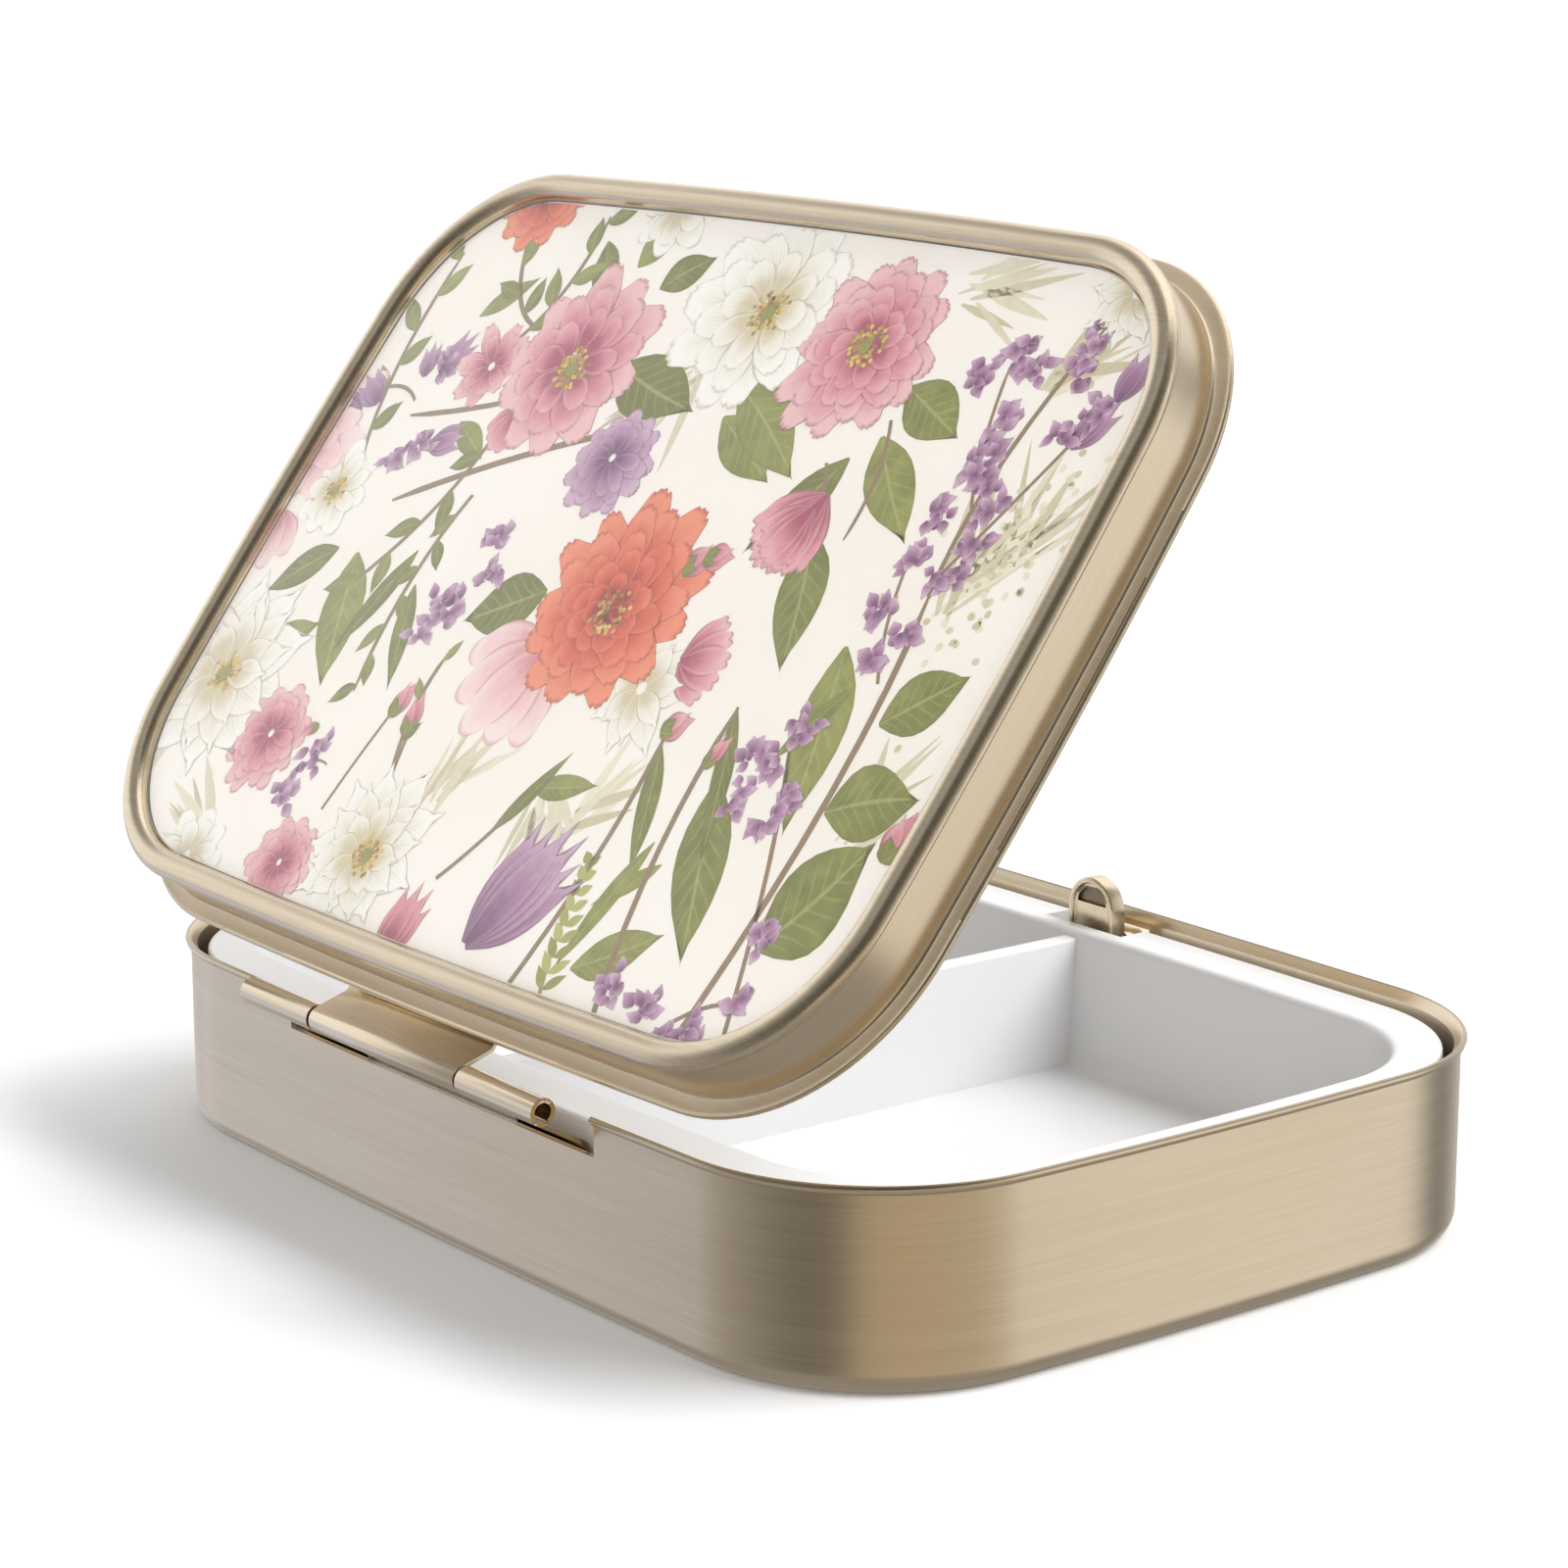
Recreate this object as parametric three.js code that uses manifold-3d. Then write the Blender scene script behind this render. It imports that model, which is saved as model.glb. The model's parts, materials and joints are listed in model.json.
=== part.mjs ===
// Rectangular metal pill box with a hinged lid, a spring latch and a lift-out tray.
// Millimetres, +Z up. X runs along the hinge, Y from the hinge to the latch.
// The origin is the centre of the underside. The lid is built shut, then swung open.
import * as THREE from 'three';
import { mergeVertices } from 'three/addons/utils/BufferGeometryUtils.js';
import Module from 'manifold-3d';

const wasm = await Module();
wasm.setup();

// outline shared by base and lid
const boxLength = 70;
const boxWidth = 50;
const cornerRadius = 12;
const longSideBow = 0.6;
const shortSideBow = 0.9;
const sheet = 0.35;

// base
const baseHeight = 10.9;
const lipOverhang = 0.32;
const lipHeight = 0.55;
const bottomRadius = 1.2;
const lipCurl = [[0.06, -0.38], [0, -0.2], [0.07, -0.05], [0.18, 0]];   // inset, height from the rim
const lipInside = [[0.3, -0.08], [0.18, 1]];

// lid
const lidGap = 0.12;
const lidHeight = 4.2;
const flangeThickness = 0.42;
const flangeWidth = 1.08;
const beadWidth = 1.55;
const beadOverhang = 0.16;
const beadRise = 0.6;
const beadAngles = [-14, 10, 32, 52, 72, 90, 110, 130, 150, 166];
const flangeCurl = [[0.16, 0], [0.04, 0.08], [0, 0.22], [0.06, 0.38]];   // inset, height from the edge
const recessDepth = 1.2;
const openAngle = 52.8;

// picture and its cover
const cardThickness = 0.25;
const coverEdge = 0.4;
const coverRise = 0.85;
const coverGap = 0.08;
const crownSteps = [0.985, 0.955, 0.9, 0.8, 0.65, 0.45, 0.2];   // how far out each ring of the crown is
const crownPower = 2.4;

// hinge
const hingeOffset = 2.3;
const hingeRise = 0.58;
const hingeLength = 28.2;
const centreKnuckle = 14;
const knuckleGap = 0.2;
const leafSheet = 0.25;
const knuckleHole = 1;
const rollSweep = 298;
const pinDiameter = 0.9;
const pinSetback = 1.2;
const notchSideGap = 0.5;
const notchDepth = 2.2;
const leafDrop = 5.2;
const leafTaper = 0.9;
const notchSillGap = 0.15;
const leafUnderLid = 0.1;
const lidLeafRise = 2.2;

// tray
const trayGap = 0.58;
const trayBelowRim = 0.8;
const trayWallShort = 2;
const trayWallLong = 3.2;
const trayFloor = 1.3;
const trayCornerRadius = 8.5;
const trayDraft = 0.45;
const footHeight = 0.2;
const footDiameter = 4;
const footSetback = 8;
const trayHeel = [[1.2, 0], [0.35, 0.35], [0, 1.2]];   // inset, height from the underside
const trayRim = [[0, -0.25], [0.08, -0.08], [0.25, 0]];   // inset, height from the top
const wellHeel = [[1.6, 0], [0.5, 0.45], [0, 1.6]];
const wellRim = [[0.02, -0.4], [-0.12, -0.1], [-0.4, 0], [-0.4, 1]];
const dividerThickness = 1.2;
const dividerBelowTray = 0.5;

// latch
const latchSheet = 0.3;
const tabWidth = 3.9;
const tabRise = 2.05;
const tabDepth = 0.9;
const tabFromRim = 2.8;
const windowWidth = 2.9;
const windowHeight = 1.05;
const windowAboveRim = 0.35;
const stripWidth = 2.8;
const stripFoot = 1.7;
const stripJog = 4.6;
const slotWidth = 5.6;
const slotTop = 0.55;
const slotHeight = 3.7;
const buttonGap = 0.15;
const buttonProud = 0.75;
const rivetDiameter = 0.9;
const rivetHead = 1.7;
const rivetHeadHeight = 0.15;
const rivetReach = 1.3;
const buttonCorner = 1.1;
const buttonBevel = 0.3;
const buttonShort = 0.4;
const latchRoom = 0.65;
const latchSideRoom = 1.35;
const cupDrop = 0.8;
const catchWidth = 1.6;
const catchHeight = 0.5;
const catchReach = 0.15;
const catchRaise = 0.2;
const catchPlate = 2;

const fit = 0.05;
const cornerSteps = 8;
const sideSteps = 5;
const ringSteps = 24;

// ---- solids ----

function toSolid(geometry) {
  const bare = geometry.clone();
  bare.deleteAttribute('normal');
  bare.deleteAttribute('uv');
  const merged = mergeVertices(bare, 1e-5);
  return new wasm.Manifold(new wasm.Mesh({
    numProp: 3,
    vertProperties: new Float32Array(merged.attributes.position.array),
    triVerts: new Uint32Array(merged.index.array),
  }));
}

function toGeometry(solid) {
  const mesh = solid.getMesh();
  const geometry = new THREE.BufferGeometry();
  geometry.setAttribute('position', new THREE.BufferAttribute(new Float32Array(mesh.vertProperties), 3));
  geometry.setIndex(new THREE.BufferAttribute(new Uint32Array(mesh.triVerts), 1));
  geometry.computeVertexNormals();
  return geometry;
}

function box(width, depth, height, x, y, z) {
  const geometry = new THREE.BoxGeometry(width, depth, height);
  geometry.translate(x, y, z + height / 2);
  return toSolid(geometry);
}

function rodAlongY(diameter, y0, y1, x, z, steps = ringSteps) {
  const geometry = new THREE.CylinderGeometry(diameter / 2, diameter / 2, y1 - y0, steps);
  geometry.translate(x, (y0 + y1) / 2, z);
  return toSolid(geometry);
}

// a flat outline drawn in X and Z, given its thickness along Y
function plateAlongY(shape, y0, y1) {
  const geometry = new THREE.ExtrudeGeometry(shape, { depth: y1 - y0, bevelEnabled: false, curveSegments: 12 });
  geometry.rotateX(Math.PI / 2);
  geometry.translate(0, y1, 0);
  return toSolid(geometry);
}

// a flat outline drawn in Y and Z, given its length along X
function barAlongX(points, x0, x1) {
  const geometry = new THREE.ExtrudeGeometry(new THREE.Shape(points), { depth: x1 - x0, bevelEnabled: false });
  geometry.applyMatrix4(new THREE.Matrix4().makeBasis(
    new THREE.Vector3(0, 1, 0), new THREE.Vector3(0, 0, 1), new THREE.Vector3(1, 0, 0)));
  geometry.translate(x0, 0, 0);
  return toSolid(geometry);
}

// ---- the bowed, round-cornered outline ----

// the point where the corner's centre keeps its distance to both side arcs
function cornerCentre(longCentre, shortCentre, longReach, shortReach) {
  const across = shortCentre.clone().sub(longCentre);
  const span = across.length();
  const along = (longReach ** 2 - shortReach ** 2 + span ** 2) / (2 * span);
  const off = Math.sqrt(longReach ** 2 - along ** 2);
  across.normalize();
  const foot = longCentre.clone().addScaledVector(across, along);
  return new THREE.Vector2(foot.x + across.y * off, foot.y - across.x * off);
}

// stations round the outline: a point and the way out of it, one quarter mirrored into four
function outline(length, width, radius, longBow, shortBow) {
  const longRadius = ((length / 2) ** 2 + longBow ** 2) / (2 * longBow);
  const shortRadius = ((width / 2) ** 2 + shortBow ** 2) / (2 * shortBow);
  const longCentre = new THREE.Vector2(0, width / 2 - longRadius);
  const shortCentre = new THREE.Vector2(length / 2 - shortRadius, 0);
  const corner = cornerCentre(longCentre, shortCentre, longRadius - radius, shortRadius - radius);
  const shortEnd = corner.clone().sub(shortCentre).angle();
  const longEnd = corner.clone().sub(longCentre).angle();
  const arcs = [
    [shortCentre, shortRadius, 0, shortEnd, sideSteps],
    [corner, radius, shortEnd, longEnd, cornerSteps],
    [longCentre, longRadius, longEnd, Math.PI / 2, sideSteps],
  ];
  const quarter = [];
  for (const [centre, r, from, to, steps] of arcs) {
    for (let i = 0; i < steps; i++) {
      const angle = from + (to - from) * i / steps;
      const out = new THREE.Vector2(Math.cos(angle), Math.sin(angle));
      quarter.push({ at: centre.clone().addScaledVector(out, r), out });
    }
  }
  const top = { at: new THREE.Vector2(0, width / 2), out: new THREE.Vector2(0, 1) };
  const flip = (s, sx, sy) => ({
    at: new THREE.Vector2(s.at.x * sx, s.at.y * sy),
    out: new THREE.Vector2(s.out.x * sx, s.out.y * sy),
  });
  const left = quarter.slice(1).reverse().map((s) => flip(s, -1, 1));
  const upper = [...quarter, top, ...left, flip(quarter[0], -1, 1)];
  const lower = upper.slice(1, -1).reverse().map((s) => flip(s, 1, -1));
  return [...upper, ...lower];
}

// a solid from rows of [inset, z], bottom to top, closed flat at both ends
function loft(stations, rows, placeRow = (s, inset) => s.at.clone().addScaledVector(s.out, -inset)) {
  const count = stations.length;
  const positions = [];
  for (const [inset, z] of rows) {
    for (const station of stations) {
      const point = placeRow(station, inset);
      positions.push(point.x, point.y, z);
    }
  }
  const bottom = positions.length / 3;
  positions.push(0, 0, rows[0][1], 0, 0, rows[rows.length - 1][1]);
  const index = [];
  for (let row = 0; row + 1 < rows.length; row++) {
    for (let i = 0; i < count; i++) {
      const next = (i + 1) % count;
      const a = row * count + i;
      const b = row * count + next;
      index.push(a, b, b + count, a, b + count, a + count);
    }
  }
  const last = (rows.length - 1) * count;
  for (let i = 0; i < count; i++) {
    const next = (i + 1) % count;
    index.push(bottom, next, i, bottom + 1, last + i, last + next);
  }
  const geometry = new THREE.BufferGeometry();
  geometry.setAttribute('position', new THREE.Float32BufferAttribute(positions, 3));
  geometry.setIndex(index);
  return toSolid(geometry);
}

// rows of a quarter round from one angle to another, in degrees from straight out
function arcRows(inset, z, radius, from, to, steps) {
  const rows = [];
  for (let i = 0; i <= steps; i++) {
    const angle = THREE.MathUtils.degToRad(from + (to - from) * i / steps);
    rows.push([inset - radius * Math.cos(angle), z + radius * Math.sin(angle)]);
  }
  return rows;
}

// rows moved in by an inset and up by a height
function raised(rows, inset, z) {
  return rows.map(([by, height]) => [inset + by, z + height]);
}

const boxOutline = outline(boxLength, boxWidth, cornerRadius, longSideBow, shortSideBow);

// shared places
const wallOuter = lipOverhang;
const wallInner = lipOverhang + sheet;
const hingeY = -boxWidth / 2 - hingeOffset;
const hingeZ = baseHeight + hingeRise;
const lidZ = baseHeight + lidGap;
const lidTop = lidZ + lidHeight;
const lidWallInner = flangeWidth + sheet;
const recessInset = flangeWidth - beadOverhang + beadWidth;
const recessFloor = lidTop - recessDepth;
const trayInset = wallInner + trayGap;
const trayTop = baseHeight - trayBelowRim;
const latchY = boxWidth / 2 - tabFromRim;
const slotZ = baseHeight - slotTop - slotHeight;
const rivetZ = slotZ + slotHeight / 2;
const knuckleRadius = knuckleHole / 2 + leafSheet;
const rollRadius = (knuckleHole + leafSheet) / 2;
const sill = baseHeight - notchDepth + notchSillGap;

// ---- base ----

function baseShell() {
  const lip = baseHeight - lipHeight;
  const outer = loft(boxOutline, [
    ...arcRows(wallOuter + bottomRadius, bottomRadius, bottomRadius, -90, 0, 5),
    [wallOuter, lip],
    ...raised(lipCurl, 0, baseHeight),
  ]);
  const inner = loft(boxOutline, [
    ...arcRows(wallOuter + bottomRadius, bottomRadius, bottomRadius - sheet, -90, 0, 4),
    [wallInner, lip],
    ...raised(lipInside, 0, baseHeight),
  ]);
  const notchLength = hingeLength + 2 * notchSideGap;
  const notch = box(notchLength, 3, notchDepth + 1, 0, -boxWidth / 2, baseHeight - notchDepth);
  const slot = box(slotWidth, 3, slotHeight, 0, boxWidth / 2, slotZ);
  return outer.subtract(inner).subtract(notch).subtract(slot);
}

// ---- hinge ----

// a bent strip's outline from its centre line
function stripOutline(line, thickness) {
  const left = [];
  const right = [];
  line.forEach((point, i) => {
    const before = line[Math.max(i - 1, 0)];
    const after = line[Math.min(i + 1, line.length - 1)];
    const inWay = point.clone().sub(before).normalize();
    const outWay = after.clone().sub(point).normalize();
    const way = inWay.clone().add(outWay).normalize();
    const miter = i === 0 || i === line.length - 1 ? 1 : 1 / Math.max(way.dot(outWay), 0.5);
    const side = new THREE.Vector2(-way.y, way.x).multiplyScalar(thickness / 2 * miter);
    left.push(point.clone().add(side));
    right.push(point.clone().sub(side));
  });
  return [...left, ...right.reverse()];
}

// centre line of a leaf: rolled round the pin, then straight off towards the first of the given points
function leafLine(points, turn) {
  const centre = new THREE.Vector2(hingeY, hingeZ);
  const towards = points[0].clone().sub(centre);
  const away = Math.acos(rollRadius / towards.length());
  const leave = Math.atan2(towards.y, towards.x) + turn * away;
  const sweep = THREE.MathUtils.degToRad(rollSweep);
  const line = [];
  for (let i = 0; i <= ringSteps; i++) {
    const angle = leave + turn * sweep * (1 - i / ringSteps);
    const out = new THREE.Vector2(Math.cos(angle), Math.sin(angle));
    line.push(centre.clone().addScaledVector(out, rollRadius));
  }
  return [...line, ...points];
}

// how far the bowed long side has come in at a distance from its middle
function sideFall(along) {
  return longSideBow * (2 * along / boxLength) ** 2;
}

function baseHingeLeaf() {
  const tabY = -boxWidth / 2 + wallInner + sideFall(hingeLength / 2) + fit + leafSheet / 2;
  const line = leafLine([
    new THREE.Vector2(tabY - leafSheet, sill + leafSheet),
    new THREE.Vector2(tabY, sill - 0.1),
    new THREE.Vector2(tabY, baseHeight - leafDrop),
  ], -1);
  const full = barAlongX(stripOutline(line, leafSheet), -hingeLength / 2, hingeLength / 2);
  const middle = centreKnuckle + 2 * knuckleGap;
  const gap = box(middle, 2 * hingeOffset + 2, 10, 0, hingeY + hingeOffset / 2, sill - 0.3);
  const taperTop = hingeRise + notchDepth;
  const corner = new THREE.Shape([
    new THREE.Vector2(1, taperTop), new THREE.Vector2(0, taperTop), new THREE.Vector2(-leafTaper, 0),
    new THREE.Vector2(-leafTaper, -leafDrop), new THREE.Vector2(1, -leafDrop)]);
  const rightTrim = plateAlongY(corner, hingeY - 3, hingeY + 5)
    .translate(hingeLength / 2, 0, baseHeight - notchDepth - knuckleRadius);
  const leftTrim = rightTrim.mirror([1, 0, 0]);
  return full.subtract(gap).subtract(rightTrim).subtract(leftTrim);
}

function lidHingeLeaf() {
  const underFlange = lidZ - leafUnderLid - leafSheet / 2;
  const tabY = -boxWidth / 2 + lidWallInner + fit + sideFall(centreKnuckle / 2) + leafSheet / 2;
  const line = leafLine([
    new THREE.Vector2(-boxWidth / 2 - 0.25, underFlange),
    new THREE.Vector2(tabY - 0.12, underFlange),
    new THREE.Vector2(tabY, underFlange + 0.12),
    new THREE.Vector2(tabY, lidZ + lidLeafRise),
  ], 1);
  return barAlongX(stripOutline(line, leafSheet), -centreKnuckle / 2, centreKnuckle / 2);
}

function hingePin() {
  const geometry = new THREE.CylinderGeometry(
    pinDiameter / 2, pinDiameter / 2, hingeLength - 2 * pinSetback, ringSteps);
  geometry.rotateZ(Math.PI / 2);
  geometry.translate(0, hingeY, hingeZ);
  return toSolid(geometry);
}

// ---- lid ----

function lidShell() {
  const half = beadWidth / 2;
  const crest = recessInset - half;
  const flange = lidZ + flangeThickness;
  const outer = loft(boxOutline, [
    ...raised(flangeCurl, 0, lidZ),
    [0.2, flange + 0.02],
    [0.42, flange - 0.06],
    [flangeWidth - 0.25, flange - 0.04],
    [flangeWidth - 0.07, flange + 0.06],
    [flangeWidth, flange + 0.3],
    [flangeWidth, lidTop - beadRise - 0.26],
    [crest - half + 0.04, lidTop - beadRise - 0.2],
    ...beadAngles.map((degrees) => {
      const angle = THREE.MathUtils.degToRad(degrees);
      return [crest - half * Math.cos(angle), lidTop - beadRise * (1 - Math.sin(angle))];
    }),
    [recessInset, lidTop - beadRise + 0.05],
    [recessInset, recessFloor],
  ]);
  const inner = loft(boxOutline, [
    [lidWallInner, lidZ - 1],
    [lidWallInner, lidTop - sheet - 0.4],
    [lidWallInner + 0.1, lidTop - sheet - 0.15],
    [crest, lidTop - sheet],
    [recessInset - sheet - 0.1, lidTop - sheet - 0.2],
    [recessInset - sheet, recessFloor - sheet],
  ]);
  return outer.subtract(inner);
}

function printCard() {
  const inset = recessInset + coverGap;
  const z = recessFloor + fit;
  return loft(boxOutline, [[inset, z], [inset, z + cardThickness]]);
}

function coverDome() {
  const inset = recessInset + coverGap;
  const z = recessFloor + fit + cardThickness + fit;
  const rows = [[1, z], [1, z + coverEdge - 0.1], [0.997, z + coverEdge]];
  for (const scale of crownSteps) {
    rows.push([scale, z + coverEdge + coverRise * (1 - scale ** crownPower)]);
  }
  const place = (s, scale) => s.at.clone().addScaledVector(s.out, -inset).multiplyScalar(scale);
  return loft(boxOutline, rows, place);
}

function lidCatch() {
  const wallY = boxWidth / 2 - lidWallInner - fit;
  const z = baseHeight + windowAboveRim + catchRaise;
  const plate = box(2 * catchWidth, leafSheet, catchPlate, 0, wallY - leafSheet / 2, z - catchRaise);
  const reach = wallY - (latchY - catchReach);
  const nib = box(catchWidth, reach, catchHeight, 0, wallY - reach / 2, z);
  return plate.add(nib);
}

// ---- tray ----

function insertTray() {
  const underside = sheet + footHeight;
  const floorTop = underside + trayFloor;
  const outer = loft(boxOutline, [
    ...raised(trayHeel, trayInset, underside),
    ...raised(trayRim, trayInset, trayTop),
  ]);
  const wellLength = boxLength - 2 * (trayInset + trayWallShort);
  const wellWidth = boxWidth - 2 * (trayInset + trayWallLong);
  const wellOutline = outline(wellLength, wellWidth, trayCornerRadius, longSideBow, shortSideBow);
  const well = loft(wellOutline, [
    ...raised(wellHeel, trayDraft, floorTop),
    ...raised(wellRim, 0, trayTop),
  ]);
  const dividerTop = trayTop - dividerBelowTray;
  const dividerFoot = floorTop - trayFloor / 2;
  const divider = box(dividerThickness, wellWidth + 1, dividerTop - dividerFoot, 0, 0, dividerFoot);
  const room = latchY - latchRoom;
  const notch = box(
    tabWidth + 2 * latchSideRoom, boxWidth / 2 - room, baseHeight + 1, 0, (room + boxWidth / 2) / 2, -0.5);
  let tray = outer.subtract(well).add(divider.intersect(outer)).subtract(notch);
  for (const [x, y] of [[1, 1], [1, -1], [-1, 1], [-1, -1]]) {
    const foot = new THREE.CylinderGeometry(footDiameter / 2, footDiameter / 2, footHeight, 16);
    foot.rotateX(Math.PI / 2);
    foot.translate(
      x * (wellLength / 2 - footSetback), y * (wellWidth / 2 - footSetback), underside - footHeight / 2 + fit);
    tray = tray.add(toSolid(foot));
  }
  return tray;
}

// ---- latch ----

function archShape(width, foot, top) {
  const shape = new THREE.Shape();
  shape.moveTo(-width / 2, foot);
  shape.lineTo(width / 2, foot);
  shape.lineTo(width / 2, top - width / 2);
  shape.absarc(0, top - width / 2, width / 2, 0, Math.PI, false);
  shape.lineTo(-width / 2, foot);
  return shape;
}

function windowShape() {
  const shape = new THREE.Shape();
  const z = baseHeight + windowAboveRim;
  shape.moveTo(-windowWidth / 2, z);
  shape.lineTo(windowWidth / 2, z);
  shape.absellipse(0, z, windowWidth / 2, windowHeight, 0, Math.PI, false, 0);
  return shape;
}

function latchTab() {
  const top = baseHeight + tabRise;
  const cupFoot = trayTop - cupDrop;
  const back = latchY + latchSheet;
  const middle = latchY + latchSheet / 2;
  const cup = plateAlongY(archShape(tabWidth, cupFoot, top), latchY, latchY + tabDepth);
  const hollow = plateAlongY(
    archShape(tabWidth - 2 * latchSheet, cupFoot - 1, top - latchSheet), back, latchY + tabDepth + 1);
  const opening = plateAlongY(windowShape(), latchY - 1, back + 1);
  const wallY = boxWidth / 2 - wallInner - fit;
  const strip = barAlongX(stripOutline([
    new THREE.Vector2(middle, cupFoot + 0.5),
    new THREE.Vector2(middle, stripJog + 0.5),
    new THREE.Vector2(wallY - latchSheet / 2, stripJog - 0.6),
    new THREE.Vector2(wallY - latchSheet / 2, stripFoot),
  ], latchSheet), -stripWidth / 2, stripWidth / 2);
  const hole = rodAlongY(rivetDiameter + 2 * fit, latchY - 1, back + 1, 0, rivetZ, 16);
  return cup.subtract(hollow).add(strip).subtract(opening).subtract(hole);
}

function latchButton() {
  const width = slotWidth - 2 * buttonGap;
  const height = slotHeight - 2 * buttonGap - buttonShort;
  const z = slotZ + buttonGap;
  const back = latchY + tabDepth + 2 * fit;
  const face = boxWidth / 2 + buttonProud;
  const shape = new THREE.Shape();
  const r = buttonCorner;
  shape.moveTo(-width / 2 + r, z);
  shape.lineTo(width / 2 - r, z);
  shape.absarc(width / 2 - r, z + r, r, -Math.PI / 2, 0, false);
  shape.lineTo(width / 2, z + height - r);
  shape.absarc(width / 2 - r, z + height - r, r, 0, Math.PI / 2, false);
  shape.lineTo(-width / 2 + r, z + height);
  shape.absarc(-width / 2 + r, z + height - r, r, Math.PI / 2, Math.PI, false);
  shape.lineTo(-width / 2, z + r);
  shape.absarc(-width / 2 + r, z + r, r, Math.PI, Math.PI * 1.5, false);
  const geometry = new THREE.ExtrudeGeometry(shape, {
    depth: face - back - buttonBevel, bevelEnabled: true, bevelThickness: buttonBevel, bevelSize: buttonBevel,
    bevelOffset: -buttonBevel, bevelSegments: 3, curveSegments: 6,
  });
  geometry.rotateX(Math.PI / 2);
  geometry.translate(0, face - buttonBevel, 0);
  const blindHole = rodAlongY(rivetDiameter + 2 * fit, back - 2, back + rivetReach, 0, rivetZ, 16);
  const behind = box(width + 2, 2, height + 2, 0, back - 1, z - 1);
  return toSolid(geometry).subtract(behind).subtract(blindHole);
}

function latchRivet() {
  const shank = rodAlongY(rivetDiameter, latchY - 2 * fit, latchY + tabDepth + rivetReach, 0, rivetZ, 16);
  const head = rodAlongY(rivetHead, latchY - fit - rivetHeadHeight, latchY - fit, 0, rivetZ, 20);
  return shank.add(head);
}

// ---- the assembly ----

const finishes = {
  goldSheet: { color: 0xcdbc9b, roughness: 0.32, metalness: 1 },
  whitePlastic: { color: 0xf4f4f2, roughness: 0.35, metalness: 0 },
  card: { color: 0xfaf2e6, roughness: 0.7, metalness: 0 },
  clear: { color: 0xffffff, roughness: 0.05, metalness: 0, transparent: true, opacity: 0.3 },
};

function addNode(parent, name, solid, finish) {
  const mesh = new THREE.Mesh(toGeometry(solid), new THREE.MeshStandardMaterial(finishes[finish]));
  mesh.name = name;
  parent.add(mesh);
  return mesh;
}

function addLidNode(parent, name, solid, finish) {
  addNode(parent, name, solid, finish).position.set(0, -hingeY, -hingeZ);
}

const pillBox = new THREE.Group();
addNode(pillBox, 'base_shell', baseShell(), 'goldSheet');
addNode(pillBox, 'base_hinge_leaf', baseHingeLeaf(), 'goldSheet');
addNode(pillBox, 'hinge_pin', hingePin(), 'goldSheet');
addNode(pillBox, 'insert_tray', insertTray(), 'whitePlastic');
addNode(pillBox, 'latch_tab', latchTab(), 'goldSheet');
addNode(pillBox, 'latch_rivet', latchRivet(), 'goldSheet');
addNode(pillBox, 'latch_button', latchButton(), 'goldSheet');

const lid = new THREE.Group();
lid.position.set(0, hingeY, hingeZ);
lid.rotation.x = THREE.MathUtils.degToRad(openAngle);
pillBox.add(lid);
addLidNode(lid, 'lid_shell', lidShell(), 'goldSheet');
addLidNode(lid, 'lid_hinge_leaf', lidHingeLeaf(), 'goldSheet');
addLidNode(lid, 'lid_catch', lidCatch(), 'goldSheet');
addLidNode(lid, 'print_card', printCard(), 'card');
addLidNode(lid, 'cover_dome', coverDome(), 'clear');

export default pillBox;
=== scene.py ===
import bpy
import json
import math
import random
from mathutils import Matrix, Vector


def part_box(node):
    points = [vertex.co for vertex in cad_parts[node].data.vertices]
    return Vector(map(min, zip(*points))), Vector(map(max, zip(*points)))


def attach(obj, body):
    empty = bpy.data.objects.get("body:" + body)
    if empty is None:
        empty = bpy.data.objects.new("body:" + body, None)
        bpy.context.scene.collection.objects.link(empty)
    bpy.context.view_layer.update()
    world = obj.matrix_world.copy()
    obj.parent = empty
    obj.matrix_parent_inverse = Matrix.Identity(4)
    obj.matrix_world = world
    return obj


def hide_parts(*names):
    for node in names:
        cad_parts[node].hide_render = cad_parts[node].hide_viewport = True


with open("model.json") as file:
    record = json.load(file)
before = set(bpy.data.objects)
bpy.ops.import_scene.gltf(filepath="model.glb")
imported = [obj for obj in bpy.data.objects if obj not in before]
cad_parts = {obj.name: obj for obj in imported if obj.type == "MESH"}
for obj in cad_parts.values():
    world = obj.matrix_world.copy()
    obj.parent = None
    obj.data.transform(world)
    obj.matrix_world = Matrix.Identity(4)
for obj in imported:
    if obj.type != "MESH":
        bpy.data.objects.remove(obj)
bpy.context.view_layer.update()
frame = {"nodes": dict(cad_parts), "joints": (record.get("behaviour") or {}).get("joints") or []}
metre = 0.001  # pieces are modelled in millimetres and brought to metres when they are done
random.seed(11)
print("frame loaded")

hinge = next(joint for joint in frame["joints"] if joint["name"] == "lid_hinge")
hingeY = hinge["pos_m"][1] / metre
hingeZ = hinge["pos_m"][2] / metre
openAngle = -math.radians(hinge["range_deg"][0])
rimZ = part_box("base_shell")[1].z / metre
boxSize = {
    "length": 2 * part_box("base_shell")[1].x / metre,
    "width": 2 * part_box("base_shell")[1].y / metre,
    "corner": 12.0,
    "longBow": 0.6,
    "shortBow": 0.9,
    "cornerSteps": 26,
    "sideSteps": 14,
}


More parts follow.
